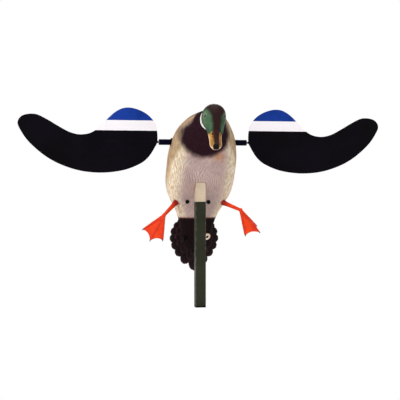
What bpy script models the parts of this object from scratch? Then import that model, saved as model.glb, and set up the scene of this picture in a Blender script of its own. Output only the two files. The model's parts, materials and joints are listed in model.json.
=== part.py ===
"""Motion wing decoy: a spinning-wing drake decoy on a square pole, as an assembly of separate pieces.

Metres, +Z up. The origin is the centre of the pole's foot. The bird faces -Y and its left side is +X.
Places on the bird are given in millimetres from the centre of the wing axle, through at().
Places on the pole are given in millimetres from its foot, through up_pole().
"""

import math

import bmesh
import bpy
from mathutils import Matrix, Vector
from mathutils.bvhtree import BVHTree

MM = 0.001
GAP = 0.3
AXLE_HEIGHT = 360.0
# The pole stands a little to the bird's right, clear of the motor's bracket wall.
AXLE_OFFSET = 6.4

# Pole and support post
POLE_SIDE = 22.2
POLE_WALL = 1.6
POLE_TOP = 230.0
PLUG_FLANGE = 3.0
PLUG_DEPTH = 18.0
POST_SIDE = 21.2
POST_TOP = AXLE_HEIGHT - 32.6
SPIGOT_SIDE = 18.4
SPIGOT_LENGTH = 90.0
BOLT_DROP = -41.0
BOLT_RADIUS = 2.5

# Motor bracket: a floor on the post's top and a wall that the motor's face is screwed to
BRACKET_MIDDLE = 2.2
BRACKET_LENGTH = 52.4
BRACKET_WIDTH = 38.0
BRACKET_THICK = 2.0
BRACKET_FLOOR = -31.3
BRACKET_WALL = 27.4
MOTOR_SCREW_HEIGHTS = {"lower": -12.5, "upper": 12.5}

# Body shell: centre y and z, pitch in degrees, half height to the back and to the belly, half width
BODY_SECTIONS = [
    (-103, 40, 10, 23.5, 23.5, 23),
    (-95, 40, 14, 25, 26.5, 27),
    (-81, 38, 20, 26.5, 33, 35.5),
    (-61, 33, 27, 31, 42, 45.5),
    (-43, 24, 35, 38.5, 50, 54.5),
    (-26, 10, 43, 47, 54, 64.5),
    (-9, -9, 49, 53.5, 55, 71),
    (9, -32, 53, 57, 53, 75),
    (27, -57, 56, 57, 50, 75.5),
    (44, -81, 59, 54, 45, 75.5),
    (58, -105, 62, 49, 39, 71.5),
    (70, -129, 64, 43, 33, 60),
    (80, -152, 66, 37, 27, 47.5),
    (88, -175, 67, 31, 22, 39.5),
    (95, -197, 68, 25, 18, 35.5),
    (101, -216, 69, 19, 14, 32),
    (106, -231, 70, 11, 9, 20),
    (108, -238, 70, 4, 3, 8),
]
BODY_WALL = 2.8
RING_POINTS = 30
ROUNDNESS = 2.25

# Head: the same columns, from the neck to the tip of the bill
HEAD_SECTIONS = [
    (-103.4, 40.1, 10, 23, 23, 22.5),
    (-111, 43, -2, 24.5, 24, 22.5),
    (-121, 47, -15, 25.5, 26.5, 24),
    (-136, 46, -30, 26, 28, 24.8),
    (-146, 37, -43, 22.5, 23.5, 23.6),
    (-154.2, 27.5, -47, 18, 18, 20.4),
    (-160.9, 17.3, -47, 13.5, 13.5, 16.2),
    (-165.7, 9.6, -47, 10.2, 10.2, 13.8),
    (-172.3, -0.7, -47, 7, 7, 12.6),
    (-179.9, -10, -47, 4.8, 4.8, 12.6),
    (-185.3, -17.3, -47, 3.4, 3.4, 11.8),
    (-188.5, -21.8, -47, 2, 2, 8.5),
]
SKULL_SECTIONS = 6
# The face looks a little to the bird's right: sideways shift per millimetre towards the bill's tip
FACE_TURN = 0.058
FACE_START = (-127.5, 54.2)
FACE_LINE = Vector((0, -0.682, -0.731))
HEAD_WALL = 2.6
NECK_CENTRE = (0, -103, 40)
NECK_PITCH = 10
HEAD_BOLT_RADIUS = 3.0

# Drive line along X
SHAFT_RADIUS = 2.5
SHAFT_HALF = 66.0
MOTOR_RADIUS = 18.5
MOTOR_HALF = 26.0
HUB_RADIUS = 6.35
HUB_START = 50.0
HUB_END = 97.0
ROD_START = 70.6
ROD_END = 214.0
BUSHING_RADIUS = 9.0
BUSHING_ENDS = (58.4, 70.6)

# Wings: distance from the bird's middle and height above the axle, round the edge
WING_OUTLINE = [
    (100.5, 4), (107, -13), (121, -34), (140, -48.5), (176, -62), (226, -67.3), (278, -60.6),
    (330, -39.3), (373, -5), (395, 26), (398.5, 42), (387, 54.5), (362, 57), (338, 46.5),
    (315, 33), (288, 19), (262, 14.8), (234, 24.5), (192, 63.8), (162, 73.6), (127, 62.2), (105, 38),
]
WING_THICK = 1.5
WING_BACK = -2.8
SADDLE_START = 114
SADDLE_END = 206
RIVET_PLACES = {"inner": (122, 7.5), "outer": (198, -7.5)}

# Tail fan: half outline, distance from the middle and height from the axle
TAIL_OUTLINE = [
    (36, -170), (50, -188), (57, -210), (53, -232), (42, -252), (27, -270), (12, -285), (0, -289),
]
TAIL_MIDDLE = -205
TAIL_SCALLOPS = 7
SCALLOP_DEPTH = 3.0
TAIL_FRONT = 119.5
TAIL_THICK = 2.5
TAIL_SCREW_HEIGHT = -203

# Hatch over the battery bay, in a frame that follows the back
HATCH_CENTRE = (0, 51, -93)
HATCH_PITCH = 60.5
HATCH_HALF_WIDTH = 42.0
HATCH_HALF_LENGTH = 54.0
HATCH_MIDDLE = 2.0
HATCH_CORNER = 10.0
LID_THICK = 1.8
LEDGE = 5.5
HINGE_ABOVE_EDGE = 1.5
HINGE_HALF = 18.0
KNUCKLE_RADIUS = 3.0
LEAF_START = 3.6
LEAF_END = 17.0
LATCH_FROM_EDGE = 11.0

# Battery
BATTERY = (70.0, 47.0, 101.0)
BATTERY_CENTRE = (0, 58, -89)
BATTERY_PITCH = 67

# Legs: the hip is for either side, and the toe tips, outer to inner, are measured from the ankle
HIP = (54, 43, -132)
ANKLES = {"right": (-83.8, 12, -158.8), "left": (86.6, 12, -148.1)}
TOE_TIPS = {
    "right": [(-48.9, 2.1, -32.9), (-32.9, -2.6, -58.0), (-4.1, -4.4, -58.0)],
    "left": [(42.3, 19.3, -37.6), (42.4, -12.1, -51.5), (9.1, -9.6, -59.0)],
}
HIND_TOE = (0, 9.5, 3)
TOE_RADIUS = 3.4
TOE_TIP_RADIUS = 1.8
WEB_THICK = 2.0
# How far out the web's edge reaches half way between two toe tips
WEB_SCALLOP = 0.93
HIP_PEG_RADIUS = 3.0

# Switch, charging jack and tray screws; the screws stand either side of the pole
SWITCH_PLACE = (-25.4, 60, -214)
JACK_PLACE = (23.2, 60, -208.5)
BELLY_SCREW_SPACING = 23.7
BELLY_SCREW_START = (10, -138)


def at(x, y, z):
    """A point in metres from millimetres measured from the centre of the axle."""
    return Vector((x + AXLE_OFFSET, y, z + AXLE_HEIGHT)) * MM


def up_pole(z, x=0.0):
    """A placement on the pole's line, so many millimetres above its foot."""
    return Matrix.Translation(Vector((x, 0, z)) * MM)


def material(name, colour, roughness, metallic=0.0):
    found = bpy.data.materials.get(name)
    if found:
        return found
    made = bpy.data.materials.new(name)
    made.use_nodes = True
    shader = made.node_tree.nodes["Principled BSDF"]
    shader.inputs["Base Color"].default_value = (*colour, 1.0)
    shader.inputs["Roughness"].default_value = roughness
    shader.inputs["Metallic"].default_value = metallic
    return made


def finish(name):
    """The finishes of the decoy, by what each is made of."""
    finishes = {
        "pole_paint": ((0.03, 0.032, 0.018), 0.5, 0.0),
        "black_plastic": ((0.012, 0.012, 0.013), 0.45, 0.0),
        "pale_plastic": ((0.66, 0.54, 0.4), 0.55, 0.0),
        "body_paint": ((0.5, 0.4, 0.36), 0.62, 0.0),
        "tail_paint": ((0.012, 0.006, 0.006), 0.6, 0.0),
        "head_paint": ((0.06, 0.13, 0.06), 0.5, 0.0),
        "leg_plastic": ((0.78, 0.07, 0.025), 0.5, 0.0),
        "wing_sheet": ((0.006, 0.005, 0.008), 0.4, 0.0),
        "steel": ((0.55, 0.55, 0.56), 0.3, 1.0),
        "hub_plastic": ((0.003, 0.003, 0.01), 0.4, 0.0),
        "motor_steel": ((0.4, 0.4, 0.42), 0.35, 1.0),
        "copper": ((0.7, 0.3, 0.14), 0.4, 1.0),
        "magnet": ((0.3, 0.3, 0.31), 0.4, 1.0),
        "foam": ((0.03, 0.03, 0.03), 0.9, 0.0),
        "battery_case": ((0.02, 0.02, 0.022), 0.5, 0.0),
        "webbing": ((0.02, 0.02, 0.02), 0.85, 0.0),
        "red_wire": ((0.5, 0.02, 0.015), 0.45, 0.0),
        "black_wire": ((0.01, 0.01, 0.01), 0.45, 0.0),
    }
    return material(name, *finishes[name])


def collection(name):
    made = bpy.data.collections.new(name)
    bpy.context.scene.collection.children.link(made)
    return made


def new_object(name, mesh, look=None):
    """A part when it has a finish, and a hidden cutter when it has none."""
    made = bpy.data.objects.new(name, mesh)
    if look:
        mesh.materials.append(finish(look))
        PARTS.objects.link(made)
        mesh.shade_smooth()
        mesh.set_sharp_from_angle(angle=math.radians(35))
    else:
        CUTTERS.objects.link(made)
        made.hide_render = True
        made.display_type = "WIRE"
    return made


def from_bmesh(name, shape, place=None, look=None):
    mesh = bpy.data.meshes.new(name)
    shape.to_mesh(mesh)
    shape.free()
    made = new_object(name, mesh, look)
    if place is not None:
        made.matrix_world = place
    return made


def facing(axis, centre):
    """A placement whose local Z lies along axis, at a point in metres."""
    return Matrix.Translation(centre) @ Vector(axis).to_track_quat("Z", "Y").to_matrix().to_4x4()


def pitched(pitch, centre):
    """Local Y to the back and local Z up the spine of a body part pitched by so many degrees."""
    angle = math.radians(pitch)
    spine = Vector((0, -math.cos(angle), math.sin(angle)))
    back = Vector((0, math.sin(angle), math.cos(angle)))
    turn = Matrix((Vector((-1, 0, 0)), back, spine)).transposed().to_4x4()
    return Matrix.Translation(at(*centre)) @ turn


def box(name, size, place, look=None, rounding=0.0):
    shape = bmesh.new()
    bmesh.ops.create_cube(shape, size=1.0)
    bmesh.ops.scale(shape, vec=Vector(size) * MM, verts=shape.verts)
    made = from_bmesh(name, shape, place, look)
    if rounding:
        bevel = made.modifiers.new("rounding", "BEVEL")
        bevel.width = rounding * MM
        bevel.segments = 2
    return made


def rod(name, radius, start, end, look=None, end_radius=None, sides=20):
    """A round bar or a tapered one between two points in metres."""
    shape = bmesh.new()
    top = radius if end_radius is None else end_radius
    length = (end - start).length
    bmesh.ops.create_cone(
        shape, cap_ends=True, segments=sides, radius1=radius * MM, radius2=top * MM, depth=length
    )
    return from_bmesh(name, shape, facing(end - start, (start + end) / 2), look)


def ball(name, radius, centre, look=None):
    shape = bmesh.new()
    bmesh.ops.create_uvsphere(shape, u_segments=12, v_segments=8, radius=radius * MM)
    return from_bmesh(name, shape, Matrix.Translation(centre), look)


def turned(name, profile, place, look=None, steps=20):
    """A closed profile of (radius, height) points in millimetres, swept round local Z."""
    shape = bmesh.new()
    points = [shape.verts.new((r * MM, 0, h * MM)) for r, h in profile]
    for i, point in enumerate(points):
        if i + 1 < len(points) or profile[0][0] > 0:
            shape.edges.new((point, points[(i + 1) % len(points)]))
    made = from_bmesh(name, shape, place, look)
    sweep = made.modifiers.new("sweep", "SCREW")
    sweep.steps = sweep.render_steps = steps
    sweep.use_merge_vertices = True
    sweep.merge_threshold = 0.00001
    return made


def ring(name, outer, bore, low, high, place, look=None, steps=20):
    """A tube from one height to another along local Z."""
    return turned(name, [(outer, high), (outer, low), (bore, low), (bore, high)], place, look, steps)


def hex_nut(name, radius, bore, low, high, place, look):
    """A six-sided nut with a round bore, from one height to another along local Z."""
    ends = [place @ (Vector((0, 0, h)) * MM) for h in (low, high)]
    nut = rod(name, radius, *ends, look, sides=6)
    beyond = [place @ (Vector((0, 0, h)) * MM) for h in (low - 2, high + 2)]
    return cut(nut, rod("cut_" + name, bore, *beyond, sides=16))


def plate(name, points, thickness, place, look=None):
    """A flat outline in millimetres, centred on local Z, from a filled 2D curve made into a mesh."""
    curve = bpy.data.curves.new(name + "_outline", "CURVE")
    curve.dimensions = "2D"
    curve.fill_mode = "BOTH"
    curve.extrude = thickness / 2 * MM
    spline = curve.splines.new("POLY")
    spline.points.add(len(points) - 1)
    for point, (x, y) in zip(spline.points, points):
        point.co = (x * MM, y * MM, 0, 1)
    spline.use_cyclic_u = True
    guide = bpy.data.objects.new(name + "_outline", curve)
    bpy.context.scene.collection.objects.link(guide)
    bpy.context.view_layer.update()
    mesh = bpy.data.meshes.new_from_object(guide.evaluated_get(bpy.context.evaluated_depsgraph_get()))
    bpy.data.objects.remove(guide)
    shape = bmesh.new()
    shape.from_mesh(mesh)
    bmesh.ops.remove_doubles(shape, verts=shape.verts, dist=0.000001)
    bmesh.ops.recalc_face_normals(shape, faces=shape.faces)
    bpy.data.meshes.remove(mesh)
    return from_bmesh(name, shape, place, look)


def wire(name, points, radius, look):
    """A round lead on a smooth route through points in metres."""
    curve = bpy.data.curves.new(name, "CURVE")
    curve.dimensions = "3D"
    curve.bevel_depth = radius * MM
    curve.bevel_resolution = 2
    curve.use_fill_caps = True
    route = smooth(points, 2)
    spline = curve.splines.new("POLY")
    spline.points.add(len(route) - 1)
    for point, place in zip(spline.points, route):
        point.co = (*place, 1)
    curve.materials.append(finish(look))
    made = bpy.data.objects.new(name, curve)
    PARTS.objects.link(made)
    return made


def smooth(points, steps, cyclic=False):
    """Catmull-Rom points through the given ones, steps to a span."""
    points = [Vector(p) for p in points]
    count = len(points)
    spans = count if cyclic else count - 1
    route = []
    for i in range(spans):
        if cyclic:
            a, b, c, d = (points[(i + k) % count] for k in (-1, 0, 1, 2))
        else:
            a, b, c, d = (points[min(max(i + k, 0), count - 1)] for k in (-1, 0, 1, 2))
        for step in range(steps):
            t = step / steps
            bend = (2 * a - 5 * b + 4 * c - d) * t**2 + (3 * b - a - 3 * c + d) * t**3
            route.append(0.5 * (2 * b + (c - a) * t + bend))
    return route if cyclic else route + [points[-1]]


def loft(name, sections, grow=0.0, inset_start=0.0, look=None):
    """A closed body through superellipse sections, each half size changed by grow."""
    shape = bmesh.new()
    rings = []
    for index, (y, z, pitch, back, belly, width) in enumerate(sections):
        angle = math.radians(pitch)
        spine = Vector((0, -math.cos(angle), math.sin(angle)))
        up = Vector((0, math.sin(angle), math.cos(angle)))
        centre = Vector((0, y, z)) - spine * (inset_start if index == 0 else 0)
        points = []
        for k in range(RING_POINTS):
            turn = 2 * math.pi * k / RING_POINTS
            side = math.copysign(abs(math.cos(turn)) ** (2 / ROUNDNESS), math.cos(turn))
            rise = math.copysign(abs(math.sin(turn)) ** (2 / ROUNDNESS), math.sin(turn))
            height = (back if rise > 0 else belly) + grow
            spot = centre + up * rise * height
            points.append(shape.verts.new(at(side * (width + grow), spot.y, spot.z)))
        rings.append(points)
    for first, second in zip(rings, rings[1:]):
        for k in range(RING_POINTS):
            n = (k + 1) % RING_POINTS
            shape.faces.new((first[k], first[n], second[n], second[k]))
    shape.faces.new(rings[0])
    shape.faces.new(rings[-1])
    bmesh.ops.recalc_face_normals(shape, faces=shape.faces)
    return from_bmesh(name, shape, None, look)


def boolean(target, operation, *tools):
    for tool in tools:
        step = target.modifiers.new(operation.lower() + "_" + tool.name, "BOOLEAN")
        step.operation = operation
        step.object = tool
        step.solver = "EXACT"
    return target


def cut(target, *tools):
    return boolean(target, "DIFFERENCE", *tools)


def join(target, *tools):
    return boolean(target, "UNION", *tools)


def keep_inside(target, *tools):
    return boolean(target, "INTERSECT", *tools)


def body_form(name, grow, look=None):
    """The body's outer form, grown or shrunk; a shrunk one also draws back from both ends."""
    sections = BODY_SECTIONS if grow > -1 else BODY_SECTIONS[:-1]
    return loft(name, sections, grow, max(-grow, 0), look)


def surface(point, direction):
    """Where a line from a point in millimetres meets the body's skin, and the normal there, in metres."""
    tree = BVHTree.FromObject(OUTSIDE, bpy.context.evaluated_depsgraph_get())
    hit, normal, _, _ = tree.ray_cast(at(*point), Vector(direction))
    return hit, normal


def rounded_rectangle(half_x, half_y, radius, middle=0.0):
    points = []
    for corner, (sx, sy) in enumerate(((1, 1), (-1, 1), (-1, -1), (1, -1))):
        for step in range(5):
            angle = math.radians(90 * corner + 22.5 * step)
            x = sx * (half_x - radius) + radius * math.cos(angle)
            y = middle + sy * (half_y - radius) + radius * math.sin(angle)
            points.append((x, y))
    return points


def make_pole():
    height = POLE_TOP - PLUG_FLANGE - GAP
    middle = up_pole(POLE_TOP - height / 2)
    tube = box("pole_tube", (POLE_SIDE, POLE_SIDE, height), middle, "pole_paint")
    bore = POLE_SIDE - 2 * POLE_WALL
    cut(tube, box("cut_pole_bore", (bore, bore, height + 10), middle))
    flange = up_pole(PLUG_FLANGE / 2)
    plug = box("pole_end_plug", (POLE_SIDE, POLE_SIDE, PLUG_FLANGE), flange, "black_plastic")
    stub = bore - 2 * GAP
    join(plug, box("add_plug_stub", (stub, stub, PLUG_DEPTH), up_pole(PLUG_FLANGE - 0.5 + PLUG_DEPTH / 2)))


def make_post():
    height = POST_TOP - POLE_TOP - GAP
    middle = up_pole(POST_TOP - height / 2)
    post = box("support_post", (POST_SIDE, POST_SIDE, height), middle, "pale_plastic")
    length = SPIGOT_LENGTH + 1
    spigot = up_pole(POLE_TOP + GAP + 1 - length / 2)
    join(post, box("add_spigot", (SPIGOT_SIDE, SPIGOT_SIDE, length), spigot))

    def on_post(x, z):
        return up_pole(AXLE_HEIGHT + z, x).translation

    hole = (on_post(-40, BOLT_DROP), on_post(40, BOLT_DROP))
    post_hole = rod("cut_post_bolt", BOLT_RADIUS + GAP, *hole, sides=16)
    cut(post, post_hole)
    floor = Matrix.Translation(at(BRACKET_MIDDLE, 0, BRACKET_FLOOR))
    bracket = box("motor_bracket", (BRACKET_LENGTH, BRACKET_WIDTH, BRACKET_THICK), floor, "steel")
    wall = Matrix.Translation(at(BRACKET_WALL, 0, -6.8))
    join(bracket, box("add_bracket_wall", (BRACKET_THICK, BRACKET_WIDTH, 51), wall))
    for side in (-1, 1):
        ear = up_pole(AXLE_HEIGHT - 40.8, side * (POST_SIDE / 2 + GAP + BRACKET_THICK / 2))
        join(bracket, box("add_bracket_ear", (BRACKET_THICK, 16, 18), ear))
    cut(bracket, post_hole, rod("cut_bracket_boss", 6, at(20, 0, 0), at(40, 0, 0)))
    for z in MOTOR_SCREW_HEIGHTS.values():
        cut(bracket, rod("cut_bracket_screw", 1.9, at(20, 0, z), at(40, 0, z), sides=12))
    bolt = rod("post_bolt", BOLT_RADIUS, on_post(-15, BOLT_DROP), on_post(17, BOLT_DROP), "steel", sides=16)
    for name, low, high in (("add_bolt_head", 13.4, 17), ("add_bolt_nut", -17, -13.4)):
        join(bolt, rod(name, 4.6, on_post(low, BOLT_DROP), on_post(high, BOLT_DROP), sides=6))


def make_motor():
    place = facing((1, 0, 0), at(0, 0, 0))
    bore = SHAFT_RADIUS + GAP
    inner = MOTOR_RADIUS - 1.6
    can = ring("motor_can", MOTOR_RADIUS, inner, -MOTOR_HALF, MOTOR_HALF - 1, place, "motor_steel")
    join(can, ring("add_motor_face", MOTOR_RADIUS, bore, MOTOR_HALF - 2, MOTOR_HALF, place))
    rear = -MOTOR_HALF - GAP
    for z in MOTOR_SCREW_HEIGHTS.values():
        cut(can, rod("cut_motor_screw", 1.8, at(20, 0, z), at(40, 0, z), sides=12))
    cap = ring("motor_end_cap", MOTOR_RADIUS, bore, rear - 2.7, rear, place, "black_plastic")
    join(cap, ring("add_cap_boss", 5.5, bore, -MOTOR_HALF - 5, -MOTOR_HALF - 2, place))
    ring("motor_magnet_ring", 16.4, 13.6, -18, 18, place, "magnet")
    rotor = ring("motor_rotor", 12.8, bore, -16, 16, place, "copper")
    for turn in range(3):
        angle = math.radians(120 * turn)
        spot = Matrix.Translation(at(0, 11.5 * math.cos(angle), 11.5 * math.sin(angle)))
        cut(rotor, box("cut_rotor_slot", (50, 2.5, 6), spot @ Matrix.Rotation(angle + math.pi / 2, 4, "X")))
    for y in (-9, 9):
        join(cap, box("add_terminal", (8, 0.8, 5), Matrix.Translation(at(-MOTOR_HALF - 5.3, y, 0))))
    for word, z in MOTOR_SCREW_HEIGHTS.items():
        screw = rod("motor_screw_" + word, 1.5, at(24.2, 0, z), at(29.5, 0, z), "steel", sides=12)
        join(screw, rod("add_motor_screw_head", 2.9, at(28.7, 0, z), at(30.6, 0, z), sides=12))


def make_drive():
    rod("drive_shaft", SHAFT_RADIUS, at(-SHAFT_HALF, 0, 0), at(SHAFT_HALF, 0, 0), "steel")
    for side, word in ((-1, "right"), (1, "left")):
        place = facing((side, 0, 0), at(0, 0, 0))
        ring("hub_sleeve_" + word, HUB_RADIUS, SHAFT_RADIUS + GAP, HUB_START, HUB_END, place, "hub_plastic")
        rod("hub_magnet_" + word, SHAFT_RADIUS, at(side * 66.3, 0, 0), at(side * 70.3, 0, 0), "magnet")
        bore = HUB_RADIUS + GAP
        inner, outer = BUSHING_ENDS
        name = "shaft_bushing_" + word
        bushing = ring(name, BUSHING_RADIUS, bore, inner + 1, outer, place, "black_plastic")
        join(bushing, ring("add_bushing_flange", BUSHING_RADIUS + 2.4, bore, inner, inner + 1.5, place))


def make_wing(side, word):
    outline = [(p.x, p.y) for p in smooth([(side * x, z, 0) for x, z in WING_OUTLINE], 3, cyclic=True)]
    stand = Matrix.Translation(at(0, WING_BACK - WING_THICK / 2, 0)) @ Matrix.Rotation(math.pi / 2, 4, "X")
    panel = plate("wing_panel_" + word, outline, WING_THICK, stand, "wing_sheet")
    rod("wing_rod_" + word, SHAFT_RADIUS, at(side * ROD_START, 0, 0), at(side * ROD_END, 0, 0), "steel")
    middle = side * (SADDLE_START + SADDLE_END) / 2
    length = SADDLE_END - SADDLE_START
    flat = Matrix.Translation(at(middle, WING_BACK + GAP + 0.6, 0))
    saddle = box("wing_saddle_" + word, (length, 1.2, 22), flat, "steel")
    hump = Matrix.Translation(at(middle, WING_BACK + GAP + 3.3, 0))
    join(saddle, box("add_saddle_hump", (length, 6.6, 8), hump))
    cut(saddle, rod("cut_saddle_channel", SHAFT_RADIUS + GAP, at(side * 90, 0, 0), at(side * 230, 0, 0)))
    for place, (x, z) in RIVET_PLACES.items():
        hole = rod("cut_rivet", 1.8, at(side * x, -10, z), at(side * x, 6, z), sides=12)
        cut(panel, hole)
        cut(saddle, hole)
        name = "wing_rivet_" + word + "_" + place
        rivet = rod(name, 1.5, at(side * x, -5.4, z), at(side * x, 0.2, z), "steel", sides=12)
        join(rivet, rod("add_rivet_head", 3, at(side * x, -5.5, z), at(side * x, -4.6, z), sides=12))
        join(rivet, rod("add_rivet_tail", 2.6, at(side * x, -1, z), at(side * x, 0.2, z), sides=12))


def neck_point(distance):
    """A point on the head's turning axis, so far towards the head from the neck joint."""
    angle = math.radians(NECK_PITCH)
    _, y, z = NECK_CENTRE
    return at(0, y - math.cos(angle) * distance, z + math.sin(angle) * distance)


def look_aside(form):
    """Turns the face a little to the bird's right, more the nearer a point is to the bill's tip."""
    for vertex in form.data.vertices:
        forward = Vector((0, *vertex.co.yz)) / MM - Vector((0, FACE_START[0], AXLE_HEIGHT + FACE_START[1]))
        vertex.co.x -= FACE_TURN * max(0.0, forward.dot(FACE_LINE)) * MM


def make_head():
    head = loft("head_shell", HEAD_SECTIONS, 0, 0, "head_paint")
    hollow = loft("cut_head_hollow", HEAD_SECTIONS[:SKULL_SECTIONS], -HEAD_WALL, -3.2)
    look_aside(head)
    look_aside(hollow)
    cut(head, hollow, rod("cut_head_bolt", HEAD_BOLT_RADIUS + GAP, neck_point(-3), neck_point(8), sides=16))
    bolt = rod("head_bolt", HEAD_BOLT_RADIUS, neck_point(-22), neck_point(5), "steel", sides=16)
    join(bolt, rod("add_head_bolt_head", 5.5, neck_point(4.2), neck_point(8), sides=6))
    into_body = neck_point(-1) - neck_point(0)
    place = facing(into_body, neck_point(0))
    bore = HEAD_BOLT_RADIUS + GAP
    nut = ring("head_wing_nut", 9, bore, 3.4, 4.8, place, "steel")
    join(nut, ring("add_nut_barrel", 6, bore, 4.4, 12, place))
    ears = box("add_nut_ears", (30, 2.4, 8), facing(into_body, neck_point(-10)))
    cut(ears, rod("cut_nut_ears", 4.5, neck_point(-4), neck_point(-18)))
    join(nut, ears)


def make_body():
    shell = body_form("body_shell", 0, "body_paint")
    cut(shell, body_form("cut_body_hollow", -BODY_WALL))
    opening = POST_SIDE + 2 * GAP + 0.4
    cut(shell, box("cut_post_opening", (opening, opening, 160), up_pole(AXLE_HEIGHT - 120)))
    for side in (-1, 1):
        cut(shell, rod("cut_axle_hole", BUSHING_RADIUS + GAP, at(side * 55, 0, 0), at(side * 90, 0, 0)))
    cut(shell, rod("cut_neck_hole", HEAD_BOLT_RADIUS + GAP, neck_point(-12), neck_point(3), sides=16))
    cut(shell, HATCH_TOOLS["opening"])
    for side in (-1, 1):
        hip, along = hip_line(side)
        hole = (hip - along * 12 * MM, hip + along * 8 * MM)
        cut(shell, rod("cut_hip_hole", HIP_PEG_RADIUS + GAP + 0.1, *hole, sides=16))
    for place, radius, word in ((SWITCH_PLACE, 3.4, "switch"), (JACK_PLACE, 5.9, "jack")):
        spot, normal = surface(place, (0, 1, 0))
        hole = (spot - normal * 8 * MM, spot + normal * 8 * MM)
        cut(shell, rod("cut_" + word + "_hole", radius, *hole, sides=20))
    tail_line = (at(0, 104, TAIL_SCREW_HEIGHT), at(0, 130, TAIL_SCREW_HEIGHT))
    cut(shell, rod("cut_tail_screw", 1.8, *tail_line, sides=12))
    for side in (-1, 1):
        spot, inward = belly_screw_line(side)
        cut(shell, rod("cut_belly_screw", 2.2, spot - inward * 5 * MM, spot + inward * 8 * MM, sides=12))


def hip_line(side):
    """The hip's place on the skin and the leg's direction away from it."""
    hip = Vector((side * HIP[0], HIP[1], HIP[2]))
    along = (Vector(ANKLES["left" if side > 0 else "right"]) - hip).normalized()
    hit, _ = surface(hip + along * 30, -along)
    return hit, along


def make_leg(side, word):
    """A leg with a peg and a bead that turn in the body's hole, three webbed toes and a short hind toe."""
    hip, along = hip_line(side)
    ankle = at(*ANKLES[word])
    leg = rod(word + "_leg", 5.6, hip + along * 2.2 * MM, ankle, "leg_plastic", 3.8, 16)
    join(leg, rod("add_hip_peg", HIP_PEG_RADIUS, hip - along * 8 * MM, hip + along * 4 * MM, sides=16))
    join(leg, ball("add_ankle", 5.2, ankle))
    tips = [Vector(tip) for tip in TOE_TIPS[word]]
    for first, second in zip(tips, tips[1:]):
        across = first.normalized()
        normal = first.cross(second).normalized()
        along_web = normal.cross(across)
        place = Matrix.Translation(ankle) @ Matrix((across, along_web, normal)).transposed().to_4x4()
        edge = (first + second) / 2 * WEB_SCALLOP
        web = [(-2, -2)] + [(point.dot(across), point.dot(along_web)) for point in (first, edge, second)]
        join(leg, plate("add_web_" + word, web, WEB_THICK, place))
    for tip in tips:
        join(leg, rod("add_toe", TOE_RADIUS, ankle, ankle + tip * 0.96 * MM, None, TOE_TIP_RADIUS, 10))
    join(leg, rod("add_hind_toe", 2.6, ankle, ankle + Vector(HIND_TOE) * MM, None, 1.6, 10))
    join(leg, rod("add_peg_bead", 4.4, hip - along * 9.5 * MM, hip - along * 5 * MM, sides=16))
    return hip


def hatch_place(x, along, out):
    return pitched(HATCH_PITCH, HATCH_CENTRE) @ (Vector((-x, out, along)) * MM)


def hatch_frame_at(along, out):
    place = pitched(HATCH_PITCH, HATCH_CENTRE)
    return Matrix.Translation(hatch_place(0, along, out)) @ place.to_3x3().to_4x4()


def hatch_prism(name, margin):
    """A rounded block through the back, standing on the hatch outline with a margin."""
    outline = rounded_rectangle(HATCH_HALF_WIDTH + margin, HATCH_HALF_LENGTH + margin,
                                HATCH_CORNER + margin, HATCH_MIDDLE)
    # The plate's own plane is turned so that its height runs along the back's normal.
    place = pitched(HATCH_PITCH, HATCH_CENTRE) @ Matrix.Rotation(math.pi / 2, 4, "X")
    place = place @ Matrix.Translation(Vector((0, 0, -50 * MM)))
    return plate(name, outline, 64, place)


def back_height(along):
    """Height of the skin over the hatch frame at so far up the spine, in millimetres."""
    place = pitched(HATCH_PITCH, HATCH_CENTRE)
    up = place.to_3x3() @ Vector((0, 1, 0))
    tree = BVHTree.FromObject(OUTSIDE, bpy.context.evaluated_depsgraph_get())
    hit, normal, _, _ = tree.ray_cast(hatch_place(0, along, 120), -up)
    return (hit - hatch_place(0, along, 0)).dot(up) / MM, normal


def make_hatch_tools():
    HATCH_TOOLS["opening"] = hatch_prism("cut_hatch_opening", 0.5)
    HATCH_TOOLS["lid"] = hatch_prism("keep_hatch_lid", 0)
    HATCH_TOOLS["seal"] = hatch_prism("keep_hatch_seal", -0.3)
    HATCH_TOOLS["inside"] = hatch_prism("cut_hatch_inside", -LEDGE)
    HATCH_TOOLS["ledge"] = hatch_prism("keep_hatch_ledge", LEDGE)


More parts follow.
